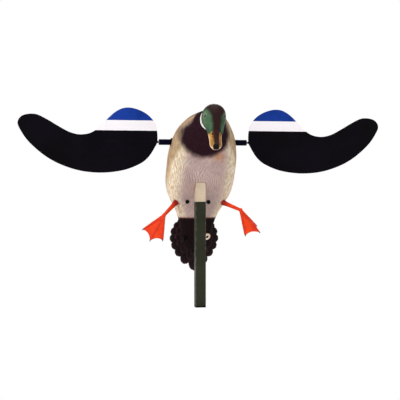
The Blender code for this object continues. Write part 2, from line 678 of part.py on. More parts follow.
def make_hatch():
    lid = body_form("hatch_lid", 0, "body_paint")
    cut(lid, body_form("cut_lid_inside", -LID_THICK))
    keep_inside(lid, HATCH_TOOLS["lid"])
    seal = body_form("hatch_gasket", -LID_THICK - GAP, "foam")
    cut(seal, body_form("cut_gasket_inside", -BODY_WALL))
    keep_inside(seal, HATCH_TOOLS["seal"])
    cut(seal, HATCH_TOOLS["inside"])
    frame = body_form("hatch_frame", -BODY_WALL - GAP, "black_plastic")
    cut(frame, body_form("cut_frame_inside", -BODY_WALL - 2.3))
    keep_inside(frame, HATCH_TOOLS["ledge"])
    cut(frame, HATCH_TOOLS["inside"])

    edge = HATCH_MIDDLE + HATCH_HALF_LENGTH
    line = edge + HINGE_ABOVE_EDGE
    height, _ = back_height(line)
    pin_out = height + KNUCKLE_RADIUS + 0.7
    bore_ends = [hatch_place(x, line, pin_out) for x in (-40, 40)]
    bore = rod("cut_hinge_bore", 1.5, *bore_ends, sides=12)
    inner = 6.0
    turn = pitched(HATCH_PITCH, HATCH_CENTRE).to_3x3().to_4x4()
    outer_knuckles = ((-HINGE_HALF, -inner - GAP), (inner + GAP, HINGE_HALF))
    for name, near, far, spans in (
        ("hinge_leaf_body", line + LEAF_START, line + LEAF_END, outer_knuckles),
        ("hinge_leaf_lid", line - LEAF_START, line - LEAF_END, ((-inner, inner),)),
    ):
        leaf = body_form(name, 1.8, "steel")
        cut(leaf, body_form("cut_" + name, GAP))
        leaf_size = (2 * HINGE_HALF, 24, abs(far - near))
        keep_inside(leaf, box("keep_" + name, leaf_size, hatch_frame_at((near + far) / 2, height)))
        for low, high in spans:
            ends = [hatch_place(x, line, pin_out) for x in (low, high)]
            knuckle = rod("add_knuckle", KNUCKLE_RADIUS, *ends, sides=16)
            middle = hatch_place((low + high) / 2, (line + near) / 2, height + 1.7)
            tongue_size = (high - low, 1.6, abs(near - line) + 2.4)
            tongue = box("add_tongue", tongue_size, Matrix.Translation(middle) @ turn)
            join(leaf, knuckle, tongue)
        cut(leaf, bore)
    pin_ends = [hatch_place(x, line, pin_out) for x in (-HINGE_HALF, HINGE_HALF)]
    rod("hinge_pin", 1.2, *pin_ends, "steel", sides=12)

    make_latch(lid)


def make_latch(lid):
    """A knob with a grip outside the lid and a cam that its stem turns inside."""
    spot, normal = latch_line()
    cut(lid, rod("cut_latch_hole", 2.9, spot - normal * 6 * MM, spot + normal * 6 * MM, sides=16))
    disc = (spot + normal * 1.0 * MM, spot + normal * 4.5 * MM)
    knob = rod("latch_knob", 8, *disc, "black_plastic", sides=24)
    join(knob, rod("add_latch_stem", 2.5, spot - normal * 10 * MM, spot + normal * 2 * MM, sides=16))
    side = Vector((1, 0, 0))
    down = normal.cross(side).normalized()
    down = down if down.z < 0 else -down
    turn = Matrix((side, down, side.cross(down))).transposed().to_4x4()
    grip = Matrix.Translation(spot + normal * 6 * MM) @ turn
    join(knob, box("add_latch_grip", (3.2, 14, 6), grip, rounding=0.8))
    cam_place = Matrix.Translation(spot - normal * 8 * MM + down * 6.5 * MM) @ turn
    cam = box("latch_cam", (8, 21, 2), cam_place, "steel")
    cut(cam, rod("cut_cam_hole", 2.8, spot - normal * 20 * MM, spot + normal * 4 * MM, sides=16))


def latch_line():
    along = HATCH_MIDDLE - HATCH_HALF_LENGTH + LATCH_FROM_EDGE
    height, normal = back_height(along)
    return hatch_place(0, along, height), normal


def belly_screw_line(side):
    """Where a tray screw enters the belly, and its direction into the body."""
    inward = pitched(BATTERY_PITCH, BATTERY_CENTRE).to_3x3() @ Vector((0, 1, 0))
    hit, _ = surface((side * BELLY_SCREW_SPACING - AXLE_OFFSET, *BELLY_SCREW_START), inward)
    return hit, inward


def make_battery():
    frame = pitched(BATTERY_PITCH, BATTERY_CENTRE)
    width, depth, length = BATTERY
    box("battery_case", BATTERY, frame, "battery_case", rounding=2)
    for x, word in ((-22, "negative"), (22, "positive")):
        place = frame @ Matrix.Translation(Vector((x, 5, length / 2 + GAP + 3)) * MM)
        box("battery_terminal_" + word, (6.3, 0.8, 6), place, "copper")
    face = -depth / 2 - 0.8
    # The frame's X runs the other way, so this is towards the pole's line.
    plate_place = frame @ Matrix.Translation(Vector((AXLE_OFFSET, face - 1, -6)) * MM)
    tray = box("battery_tray", (52, 2, 92), plate_place, "black_plastic")
    floor_place = frame @ Matrix.Translation(Vector((AXLE_OFFSET, face + 15, -length / 2 - 1.6)) * MM)
    join(tray, box("add_tray_floor", (52, 34, 2), floor_place))
    for side, word in ((-1, "right"), (1, "left")):
        spot, inward = belly_screw_line(side)
        local = frame.inverted() @ spot
        top = frame @ Vector((local.x, (face - 1) * MM, local.z))
        bottom = spot + inward * 6.5 * MM
        join(tray, rod("add_tray_boss", 5.5, bottom, top, sides=16))
        cut(tray, rod("cut_boss_hole", 1.9, spot, spot + inward * 14 * MM, sides=12))
        ends = (spot - inward * 2.2 * MM, spot + inward * 13 * MM)
        screw = rod("belly_screw_" + word, 1.6, *ends, "black_plastic", sides=12)
        head_ends = (spot - inward * 4.3 * MM, spot - inward * 1.9 * MM)
        join(screw, rod("add_belly_screw_head", 4.4, *head_ends, sides=16))
    strap_outer = (width + 3.6, depth + 6.6, 20)
    strap_inner = (width + 0.8, depth + 3.8, 24)
    place = frame @ Matrix.Translation(Vector((0, -1.1, 4)) * MM)
    strap = box("battery_strap", strap_outer, place, "webbing", rounding=1.5)
    cut(strap, box("cut_strap", strap_inner, place))


def make_tail():
    half = smooth([(x, z, 0) for x, z in TAIL_OUTLINE], 4)
    side = []
    for index, point in enumerate(half):
        wave = abs(math.sin(math.pi * TAIL_SCALLOPS * index / (len(half) - 1)))
        outward = (point - Vector((0, TAIL_MIDDLE, 0))).normalized()
        side.append(point + outward * SCALLOP_DEPTH * (wave - 1))
    outline = [(p.x, p.y) for p in side] + [(-p.x, p.y) for p in reversed(side[:-1])]
    rear = TAIL_FRONT + TAIL_THICK
    stand = Matrix.Translation(at(0, TAIL_FRONT + TAIL_THICK / 2, 0)) @ Matrix.Rotation(math.pi / 2, 4, "X")
    fan = plate("tail_fan", outline, TAIL_THICK, stand, "tail_paint")
    z = TAIL_SCREW_HEIGHT
    pad = box("add_tail_pad", (26, 14, 44), Matrix.Translation(at(0, TAIL_FRONT - 6, z)))
    cut(pad, body_form("cut_tail_pad", GAP))
    join(fan, pad)
    cut(fan, rod("cut_fan_screw", 1.8, at(0, 104, z), at(0, 130, z), sides=12))
    screw = rod("tail_screw", 1.5, at(0, 109, z), at(0, rear + 1.5, z), "black_plastic", sides=12)
    join(screw, rod("add_tail_screw_head", 3.4, at(0, rear + GAP, z), at(0, rear + 2.3, z), sides=16))


def make_switch():
    spot, normal = surface(SWITCH_PLACE, (0, 1, 0))
    place = facing(normal, spot)
    middle = place @ Matrix.Translation(Vector((0, 0, -11.2)) * MM)
    body = box("switch_body", (12, 10, 11), middle, "black_plastic")
    join(body, ring("add_switch_bushing", 3.0, 2.3, -6.3, 6.5, place, steps=16))
    nut = hex_nut("switch_nut", 5.6, 3.3, -1, 3, place, "steel")
    cut(nut, body_form("cut_switch_nut", GAP))
    tilt = place @ Matrix.Translation(Vector((0, 0, 3.2)) * MM) @ Matrix.Rotation(math.radians(-12), 4, "X")
    profile = [(0, 13), (1.4, 12.6), (1.9, 11.4), (1.1, 2), (1.7, 0), (1.1, -1.4), (0, -1.7)]
    turned("switch_lever", profile, tilt, "steel", 16)
    return spot, normal


def make_jack():
    spot, normal = surface(JACK_PLACE, (0, 1, 0))
    place = facing(normal, spot)
    body = ring("charge_jack_body", 5.5, 2.75, -12, 2.6, place, "pale_plastic", 24)
    flange = ring("add_jack_flange", 8, 2.75, -3, 2.6, place, steps=24)
    cut(flange, body_form("cut_jack_flange", GAP))
    join(body, flange, rod("add_jack_floor", 5.5, spot - normal * 14 * MM, spot - normal * 11 * MM))
    join(body, rod("add_jack_pin", 1.0, spot - normal * 12 * MM, spot + normal * 0.5 * MM, sides=12))
    hex_nut("charge_jack_nut", 8.6, 5.8, -8.4, -6.4, place, "steel")
    return spot, normal


def make_wires(switch, switch_normal, jack, jack_normal):
    battery = pitched(BATTERY_PITCH, BATTERY_CENTRE)

    def terminal(x, y=5.0):
        return battery @ (Vector((x, y, BATTERY[2] / 2 + 7.6)) * MM)

    def behind(spot, normal, side, depth):
        return spot - normal * depth * MM + Vector((side * MM, 0, 0))

    motor_tab = -MOTOR_HALF - 11
    wire("lead_battery_to_motor", [
        terminal(22), at(-27, 38, -26), at(-34, 30, -14), at(-39, 18, -4), at(motor_tab, 9, 0),
    ], 1.0, "red_wire")
    wire("lead_battery_to_switch", [
        terminal(-22), at(31, 42, -32), at(40, 46, -42), at(43, 52, -60), at(43, 62, -92), at(40, 72, -122),
        at(30, 84, -148), at(12, 88, -164), at(-6, 92, -178), behind(switch, switch_normal, 3, 26),
        behind(switch, switch_normal, 3, 18.5),
    ], 1.0, "black_wire")
    wire("lead_switch_to_motor", [
        behind(switch, switch_normal, -3, 18.5), behind(switch, switch_normal, -3, 25), at(-22, 96, -178),
        at(-33, 84, -150), at(-42, 70, -118), at(-44, 58, -86), at(-43, 46, -54), at(-40, 28, -28),
        at(-41, 4, -12), at(motor_tab, -9, 0),
    ], 1.0, "black_wire")
    wire("lead_jack_to_battery", [
        behind(jack, jack_normal, 0, 14.5), behind(jack, jack_normal, 0, 21), at(24, 100, -178),
        at(34, 91, -150), at(43, 84, -120), at(46, 72, -88), at(43, 60, -58), at(39, 54, -40),
        at(29, 50, -29), terminal(-22, 10),
    ], 1.0, "red_wire")


def axis_empty(name, point, *children):
    """An empty on a joint's axis, which carries the pieces that move with it."""
    empty = bpy.data.objects.new(name, None)
    PARTS.objects.link(empty)
    empty.location = point
    bpy.context.view_layer.update()
    for child in children:
        obj = bpy.data.objects[child]
        obj.parent = empty
        obj.matrix_parent_inverse = empty.matrix_world.inverted()


for old in list(bpy.data.objects):
    bpy.data.objects.remove(old)
PARTS = collection("motion_wing_decoy")
CUTTERS = collection("cutters")
HATCH_TOOLS = {}
OUTSIDE = body_form("guide_outside", 0)
bpy.context.view_layer.update()

make_hatch_tools()
make_pole()
make_post()
make_motor()
make_drive()
for wing_side, wing_word in ((-1, "right"), (1, "left")):
    make_wing(wing_side, wing_word)
make_head()
make_body()
right_hip = make_leg(-1, "right")
left_hip = make_leg(1, "left")
make_hatch()
make_battery()
make_tail()
switch_spot, switch_out = make_switch()
jack_spot, jack_out = make_jack()
make_wires(switch_spot, switch_out, jack_spot, jack_out)

axis_empty("drive_axis", at(0, 0, 0), "drive_shaft", "motor_rotor", "hub_sleeve_left", "hub_sleeve_right",
           "hub_magnet_left", "hub_magnet_right")
axis_empty("head_axis", neck_point(0), "head_shell", "head_bolt", "head_wing_nut")
axis_empty("right_leg_axis", right_hip, "right_leg")
axis_empty("left_leg_axis", left_hip, "left_leg")
hinge_line = HATCH_MIDDLE + HATCH_HALF_LENGTH + HINGE_ABOVE_EDGE
hinge_height, _ = back_height(hinge_line)
axis_empty("hatch_axis", hatch_place(0, hinge_line, hinge_height + KNUCKLE_RADIUS + 0.7),
           "hatch_lid", "hinge_leaf_lid", "hinge_pin")
latch_spot, _ = latch_line()
axis_empty("latch_axis", latch_spot, "latch_knob", "latch_cam")
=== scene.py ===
import json
import math

import bmesh
import bpy
import numpy as np
from mathutils import Matrix, Vector
from mathutils.bvhtree import BVHTree


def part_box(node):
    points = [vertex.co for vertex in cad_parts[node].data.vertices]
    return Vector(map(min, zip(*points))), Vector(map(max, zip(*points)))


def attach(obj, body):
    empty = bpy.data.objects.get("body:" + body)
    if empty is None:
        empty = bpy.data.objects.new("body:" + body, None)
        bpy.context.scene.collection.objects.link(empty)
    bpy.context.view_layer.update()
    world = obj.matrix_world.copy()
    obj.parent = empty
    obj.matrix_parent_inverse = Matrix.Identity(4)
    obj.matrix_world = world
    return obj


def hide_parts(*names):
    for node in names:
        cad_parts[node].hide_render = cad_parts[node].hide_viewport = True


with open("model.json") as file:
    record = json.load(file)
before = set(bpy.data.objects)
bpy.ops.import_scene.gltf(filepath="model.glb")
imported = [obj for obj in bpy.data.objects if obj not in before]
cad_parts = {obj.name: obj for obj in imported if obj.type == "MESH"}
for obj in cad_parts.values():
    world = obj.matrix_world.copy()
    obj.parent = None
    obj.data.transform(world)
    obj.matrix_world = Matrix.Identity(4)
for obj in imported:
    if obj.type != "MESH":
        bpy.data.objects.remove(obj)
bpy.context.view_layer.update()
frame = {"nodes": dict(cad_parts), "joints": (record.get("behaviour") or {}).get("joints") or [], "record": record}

# Millimetres in the code below are measured from the centre of the wing axle, and +Z is up the pole.
MM = 0.001


def box_middle(node):
    low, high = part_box(node)
    return (Vector(low) + Vector(high)) / 2


AXLE = box_middle("drive_shaft")

# Sections: centre y and z, pitch in degrees, half height to the back and to the belly, half width
BODY_SECTIONS = [
    (-103, 40, 10, 23.5, 23.5, 23),
    (-95, 40, 14, 25, 26.5, 27),
    (-81, 38, 20, 26.5, 33, 35.5),
    (-61, 33, 27, 31, 42, 45.5),
    (-43, 24, 35, 38.5, 50, 54.5),
    (-26, 10, 43, 47, 54, 64.5),
    (-9, -9, 49, 53.5, 55, 71),
    (9, -32, 53, 57, 53, 75),
    (27, -57, 56, 57, 50, 75.5),
    (44, -81, 59, 54, 45, 75.5),
    (58, -105, 62, 49, 39, 71.5),
    (70, -129, 64, 43, 33, 60),
    (80, -152, 66, 37, 27, 47.5),
    (88, -175, 67, 31, 22, 39.5),
    (95, -197, 68, 25, 18, 35.5),
    (101, -216, 69, 19, 14, 32),
    (106, -231, 70, 11, 9, 20),
    (108, -238, 70, 4, 3, 8),
]
HEAD_SECTIONS = [
    (-103.6, 40.1, 10, 22.0, 22.0, 20.8),
    (-111, 43, -2, 23.8, 23, 20.4),
    (-121, 47, -15, 25.5, 26, 22.6),
    (-136, 46, -30, 26, 28, 24.8),
    (-146, 37, -43, 22.5, 23.5, 23.6),
    (-154.2, 27.5, -47, 17.6, 17.6, 20.6),
    (-160.5, 19.5, -47, 14.2, 14.2, 17.6),
    (-166, 12.4, -47, 10.6, 10.6, 14.4),
    (-169, 8.0, -47, 6, 6, 9),
]
ROUNDNESS = 2.25
HEAD_ROUNDNESS = 2.1
BODY_WALL = 2.8
BUSHING_BORE = 9.3
# Feather lengths, the pitch of the belly's grooves, rows that a feather spans, and the top of the rump
SMALL_FEATHER = 7.0
LARGE_FEATHER = 15.0
HAIR_PITCH = 4.1
FEATHER_OVERLAP = 2.3
RUMP_HEIGHT = -168
# The neck's seam and the middle of the skull in y and z, and the way the bill points
NECK_SEAM = (-103, 40)
NECK_PITCH = 10
HEAD_MIDDLE = (-122, 60)
BILL_AIM = (-0.682, -0.731)
# The face looks a little to the bird's right: sideways shift per millimetre towards the bill's tip
FACE_TURN = 0.058
FACE_START = 8
# Along the bill's axis and towards the crown
EYE_PLACE = (32, 11.5)
RELIEF_ROWS = 250
RELIEF_COLUMNS = 440

WING_OUTLINE = [
    (100.5, 4), (107, -13), (121, -34), (140, -48.5), (176, -62), (226, -67.3), (278, -60.6),
    (330, -39.3), (373, -5), (395, 26), (398.5, 42), (387, 54.5), (362, 57), (338, 46.5),
    (315, 33), (288, 19), (262, 14.8), (234, 24.5), (192, 63.8), (162, 73.6), (127, 62.2), (105, 38),
]
WING_FRONT = -4.3
WING_BACK = -2.8
RIB_REACH = (99, 216)
RIB_RADIUS = 2.6
WHITE_BAND = (24, 46)
BAND_REACH = 260
BAND_EDGE = 0.25
LEFT_BAND_RISE = 1.8

HATCH_CENTRE = (0, 51, -93)
HATCH_PITCH = 60.5
HATCH_HALF = (42.0, 54.0)
HATCH_MIDDLE = 2.0
HATCH_CORNER = 10.0
# The cutting prism's ends on its own axis, which points into the body
HATCH_CUT = (-82, -18)
LID_WALL = 1.8

TAIL_CENTRE = (0, 120, -200)
TAIL_REACH = [(0, 89), (8, 86), (21, 75), (39, 67), (59, 62), (80, 58), (103, 52), (130, 47)]


# ---- shapes

def at(x, y, z):
    """A point in metres from millimetres measured from the axle."""
    return AXLE + Vector((x, y, z)) * MM


def placed(points):
    """The same for an array of points."""
    return np.asarray(points, float) * MM + np.array(AXLE)


def mesh_object(name, mesh, *materials):
    """A new object in the scene, with its materials."""
    for look in materials:
        mesh.materials.append(look)
    made = bpy.data.objects.new(name, mesh)
    bpy.context.scene.collection.objects.link(made)
    return made


def shape_object(name, shape, *materials):
    """The same from a bmesh, which is used up."""
    mesh = bpy.data.meshes.new(name)
    shape.to_mesh(mesh)
    shape.free()
    return mesh_object(name, mesh, *materials)


def new_piece(name, points, faces, *materials):
    """A smooth piece with its faces turned outwards."""
    mesh = bpy.data.meshes.new(name)
    mesh.from_pydata([tuple(p) for p in points], [], faces)
    mesh.shade_smooth()
    shape = bmesh.new()
    shape.from_mesh(mesh)
    bmesh.ops.recalc_face_normals(shape, faces=shape.faces)
    shape.to_mesh(mesh)
    shape.free()
    return mesh_object(name, mesh, *materials)


def grid_faces(rows, columns):
    """Quads over rows of points, each row a ring."""
    faces = []
    for i in range(rows - 1):
        for j in range(columns):
            k = (j + 1) % columns
            faces.append((i * columns + j, i * columns + k, (i + 1) * columns + k, (i + 1) * columns + j))
    return faces


def ring_tube(name, rings, *materials):
    """A closed skin through an array of rings, rows x columns x 3 in metres."""
    rows, columns, _ = rings.shape
    faces = grid_faces(rows, columns)
    faces.append(tuple(range(columns)))
    faces.append(tuple((rows - 1) * columns + j for j in range(columns)))
    return new_piece(name, rings.reshape(-1, 3), faces, *materials)


def catmull_rom(a, b, c, d, t):
    """From b to c as t goes from 0 to 1."""
    return 0.5 * (2 * b + (c - a) * t + (2 * a - 5 * b + 4 * c - d) * t**2 + (3 * b - a - 3 * c + d) * t**3)


def spline(table, count):
    """Catmull-Rom rows through the rows of a table, count in all, and the table position of each."""
    table = np.asarray(table, float)
    last = len(table) - 1
    place = np.linspace(0, last, count)
    i = np.minimum(place.astype(int), last - 1)
    t = (place - i)[:, None]
    a, b = table[np.maximum(i - 1, 0)], table[i]
    c, d = table[i + 1], table[np.minimum(i + 2, last)]
    return catmull_rom(a, b, c, d, t), place


def smooth_loop(points, steps):
    """A closed curve through the points, with this many steps between each two."""
    a, b, c, d = (np.roll(np.array(points, float), 1 - k, axis=0)[:, None] for k in range(4))
    t = (np.arange(steps) / steps)[None, :, None]
    return catmull_rom(a, b, c, d, t).reshape(-1, 2).tolist()


def signed_power(value, power):
    """A power that keeps the sign."""
    return np.sign(value) * np.abs(value) ** power


def section_rings(sections, rows, columns, grow=0.0, roundness=ROUNDNESS):
    """Rings in millimetres through superellipse sections, with each point's side and rise from -1 to 1."""
    table, place = spline(sections, rows)
    y, z, pitch, back, belly, width = table.T
    angle = np.radians(pitch)
    up = np.stack([np.zeros(rows), np.sin(angle), np.cos(angle)], 1)
    turn = 2 * np.pi * np.arange(columns) / columns
    side = signed_power(np.cos(turn), 2 / roundness)
    rise = signed_power(np.sin(turn), 2 / roundness)
    height = np.where(rise[None, :] > 0, (back + grow)[:, None], (belly + grow)[:, None]) * rise[None, :]
    rings = np.zeros((rows, columns, 3))
    rings[:, :, 0] = side[None, :] * (width + grow)[:, None]
    rings[:, :, 1] = y[:, None] + up[:, 1:2] * height
    rings[:, :, 2] = z[:, None] + up[:, 2:3] * height
    return rings, np.broadcast_to(side, (rows, columns)), np.broadcast_to(rise, (rows, columns)), place


def ring_normals(rings):
    """Outward directions over an array of rings."""
    along = np.gradient(rings, axis=0)
    around = np.roll(rings, -1, axis=1) - np.roll(rings, 1, axis=1)
    normal = np.cross(around, along)
    normal /= np.maximum(np.linalg.norm(normal, axis=2, keepdims=True), 1e-9)
    centre = rings.mean(axis=1, keepdims=True)
    flip = np.sign(((rings - centre) * normal).sum(axis=(1, 2)))
    return normal * flip[:, None, None]


def arc_lengths(rings):
    """Distance along the rings, distance round each ring, and each ring's whole length."""
    step = np.linalg.norm(np.diff(rings, axis=0), axis=2)
    along = np.vstack([np.zeros((1, rings.shape[1])), np.cumsum(step, axis=0)])
    around = np.linalg.norm(rings - np.roll(rings, 1, axis=1), axis=2)
    travel = np.cumsum(around, axis=1)
    return along, travel, travel[:, -1:]


def smoothstep(low, high, value):
    t = np.clip((value - low) / (high - low), 0, 1)
    return t * t * (3 - 2 * t)


def feather_scales(columns, rows):
    """Height from 0 to 1 of overlapping rounded feathers, each one unit wide and one long."""
    height = np.zeros_like(columns)
    spine = np.zeros_like(columns)
    done = np.zeros(columns.shape, bool)
    for back in (2, 1, 0):
        row = np.floor(rows) - back
        shift = np.mod(row, 2) * 0.5
        middle = np.round(columns - shift)
        across = (columns - shift - middle) * 2
        down = (rows - row) / FEATHER_OVERLAP
        tip = np.sqrt(np.clip(1 - 0.8 * across**2, 0, 1)) * 0.42 + 0.58
        inside = (down <= tip) & ~done
        value = 0.25 + 0.75 * down / tip
        value = value * (1 - 0.22 * across**2)
        height = np.where(inside, value, height)
        spine = np.where(inside, np.exp(-((across / 0.1) ** 2)) * smoothstep(1.0, 0.5, down / tip), spine)
        done |= inside
    return np.where(done, height, 0.2), spine


def mound(x, y, middle, size):
    """1 at the middle, falling away smoothly to each side."""
    return np.exp(-(((x - middle[0]) / size[0]) ** 2 + ((y - middle[1]) / size[1]) ** 2))


def set_masks(obj, **masks):
    """A value at each point for each mask that a material reads."""
    for name, values in masks.items():
        layer = obj.data.attributes.new(name, "FLOAT", "POINT")
        layer.data.foreach_set("value", np.ascontiguousarray(values, np.float32).reshape(-1))


def get_points(mesh):
    points = np.empty(len(mesh.vertices) * 3, np.float32)
    mesh.vertices.foreach_get("co", points)
    return points.reshape(-1, 3).astype(float)


def evaluated_copy(obj, name):
    """obj's mesh with its modifiers applied, as a new object; obj stays as it is."""
    bpy.context.view_layer.update()
    graph = bpy.context.evaluated_depsgraph_get()
    solved = obj.evaluated_get(graph)
    mesh = bpy.data.meshes.new_from_object(solved, preserve_all_data_layers=True, depsgraph=graph)
    mesh.transform(obj.matrix_world)
    return mesh_object(name, mesh)


def carve(obj, steps, name):
    """A new object: obj after Boolean steps, each an operation and a tool."""
    for operation, tool in steps:
        modifier = obj.modifiers.new("step", "BOOLEAN")
        modifier.operation = operation
        modifier.object = tool
        modifier.solver = "MANIFOLD"
    made = evaluated_copy(obj, name)
    obj.modifiers.clear()
    return made


def remove(*objects):
    for obj in objects:
        bpy.data.objects.remove(obj, do_unlink=True)


def box_tool(low, high):
    shape = bmesh.new()
    bmesh.ops.create_cube(shape, size=1.0)
    centre, size = (low + high) / 2, high - low
    bmesh.ops.scale(shape, vec=size, verts=shape.verts)
    bmesh.ops.translate(shape, vec=centre, verts=shape.verts)
    return shape_object("tool", shape)


def ball_object(name, radius, centre, segments=20, rings=12, *materials):
    shape = bmesh.new()
    bmesh.ops.create_uvsphere(shape, u_segments=segments, v_segments=rings, radius=radius * MM)
    bmesh.ops.translate(shape, vec=centre, verts=shape.verts)
    return shape_object(name, shape, *materials)


def rod_tool(radius, start, end, end_radius=None, sides=24):
    shape = bmesh.new()
    top = radius if end_radius is None else end_radius
    bmesh.ops.create_cone(shape, cap_ends=True, segments=sides, radius1=radius * MM, radius2=top * MM,
                          depth=(end - start).length)
    turn = (end - start).to_track_quat("Z", "Y").to_matrix().to_4x4()
    bmesh.ops.transform(shape, matrix=Matrix.Translation((start + end) / 2) @ turn, verts=shape.verts)
    return shape_object("tool", shape)


def plate_tool(outline, low, high, place):
    """A flat outline in millimetres between two heights on local Z."""
    shape = bmesh.new()
    bottom = [shape.verts.new((x * MM, y * MM, low * MM)) for x, y in outline]
    shape.faces.new(bottom)
    grown = bmesh.ops.extrude_face_region(shape, geom=list(shape.faces))
    lifted = [v for v in grown["geom"] if isinstance(v, bmesh.types.BMVert)]
    bmesh.ops.translate(shape, vec=(0, 0, (high - low) * MM), verts=lifted)
    bmesh.ops.transform(shape, matrix=place, verts=shape.verts)
    bmesh.ops.recalc_face_normals(shape, faces=shape.faces)
    return shape_object("tool", shape)


def rounded_rectangle(half_x, half_y, radius, middle=0.0, steps=8):
    points = []
    for corner, (sx, sy) in enumerate(((1, 1), (-1, 1), (-1, -1), (1, -1))):
        for step in range(steps + 1):
            angle = math.radians(90 * corner + 90 * step / steps)
            x = sx * (half_x - radius) + radius * math.cos(angle)
            points.append((x, middle + sy * (half_y - radius) + radius * math.sin(angle)))
    return points


def soften_edges(obj, width, segments, angle):
    bevel = obj.modifiers.new("edges", "BEVEL")
    bevel.width = width
    bevel.segments = segments
    bevel.limit_method = "ANGLE"
    bevel.angle_limit = math.radians(angle)


def pitched(pitch, centre):
    """Axes for a flat part that lies along the back: x to the right, y out and z up the spine."""
    angle = math.radians(pitch)
    spine = Vector((0, -math.cos(angle), math.sin(angle)))
    back = Vector((0, math.sin(angle), math.cos(angle)))
    turn = Matrix((Vector((-1, 0, 0)), back, spine)).transposed().to_4x4()
    return Matrix.Translation(at(*centre)) @ turn


# ---- materials

def srgb(red, green, blue):
    def one(c):
        c /= 255
        return c / 12.92 if c <= 0.04045 else ((c + 0.055) / 1.055) ** 2.4
    return (one(red), one(green), one(blue), 1.0)


class Look:
    """A material under construction: short calls that add and link nodes."""

    def __init__(self, name, roughness=0.5, metallic=0.0, specular=0.5):
        self.material = bpy.data.materials.new(name)
        self.material.use_nodes = True
        self.tree = self.material.node_tree
        self.shader = self.tree.nodes["Principled BSDF"]
        self.set("Roughness", roughness)
        self.set("Metallic", metallic)
        self.set("Specular IOR Level", specular)
        self.coordinates = self.node("ShaderNodeTexCoord").outputs["Object"]

    def node(self, kind, **settings):
        made = self.tree.nodes.new(kind)
        for key, value in settings.items():
            setattr(made, key, value)
        return made

    def set(self, socket, value):
        self.shader.inputs[socket].default_value = value

    def link(self, source, target):
        self.tree.links.new(source, target)

    def feed(self, socket, value):
        if isinstance(value, bpy.types.NodeSocket):
            self.link(value, socket)
        else:
            socket.default_value = value

    def attribute(self, name):
        return self.node("ShaderNodeAttribute", attribute_name=name).outputs["Fac"]

    def noise(self, scale, detail=4.0, rough=0.55, stretch=None):
        made = self.node("ShaderNodeTexNoise")
        made.inputs["Scale"].default_value = scale
        made.inputs["Detail"].default_value = detail
        made.inputs["Roughness"].default_value = rough
        self.link(self.stretched(stretch) if stretch else self.coordinates, made.inputs["Vector"])
        return made.outputs["Fac"]

    def stretched(self, scale):
        made = self.node("ShaderNodeMapping")
        made.inputs["Scale"].default_value = scale
        self.link(self.coordinates, made.inputs["Vector"])
        return made.outputs["Vector"]

    def remap(self, value, low, high, to_low=0.0, to_high=1.0):
        made = self.node("ShaderNodeMapRange")
        made.interpolation_type = "SMOOTHSTEP"
        self.feed(made.inputs["Value"], value)
        for key, number in (("From Min", low), ("From Max", high), ("To Min", to_low), ("To Max", to_high)):
            made.inputs[key].default_value = number
        return made.outputs["Result"]

    def maths(self, operation, first, second=0.0, kind="ShaderNodeMath", output="Value"):
        made = self.node(kind, operation=operation)
        self.feed(made.inputs[0], first)
        self.feed(made.inputs[1], second)
        return made.outputs[output]

    def mix(self, factor, first, second, blend="MIX"):
        made = self.node("ShaderNodeMix", data_type="RGBA", blend_type=blend)
        self.feed(made.inputs["Factor"], factor)
        self.feed(made.inputs["A"], first)
        self.feed(made.inputs["B"], second)
        return made.outputs["Result"]

    def clouded(self, value, first, second, low=0.35, high=0.7):
        """Two sRGB colours patched together by a noise."""
        return self.mix(self.remap(value, low, high), srgb(*first), srgb(*second))

    def ragged(self, value, amount):
        """A noise about zero, which roughens the edge of a mask."""
        return self.maths("MULTIPLY", self.maths("SUBTRACT", value, 0.5), amount)

    def axis(self, letter):
        made = self.node("ShaderNodeSeparateXYZ")
        self.link(self.coordinates, made.inputs["Vector"])
        return made.outputs[letter]

    def grooved(self, colour, low, high):
        """Painted shade and highlight: darker in the grooves between feathers and a little lighter on their tops.
        """
        groove = self.remap(self.attribute("relief"), 0.15, 0.75, low, high)
        return self.mix(0.85, colour, groove, "MULTIPLY")

    def colour(self, value):
        self.feed(self.shader.inputs["Base Color"], value)

    def roughness(self, value):
        self.feed(self.shader.inputs["Roughness"], value)

    def bump(self, height, distance, strength=1.0):
        made = self.node("ShaderNodeBump")
        made.inputs["Distance"].default_value = distance
        made.inputs["Strength"].default_value = strength
        self.link(height, made.inputs["Height"])
        self.link(made.outputs["Normal"], self.shader.inputs["Normal"])


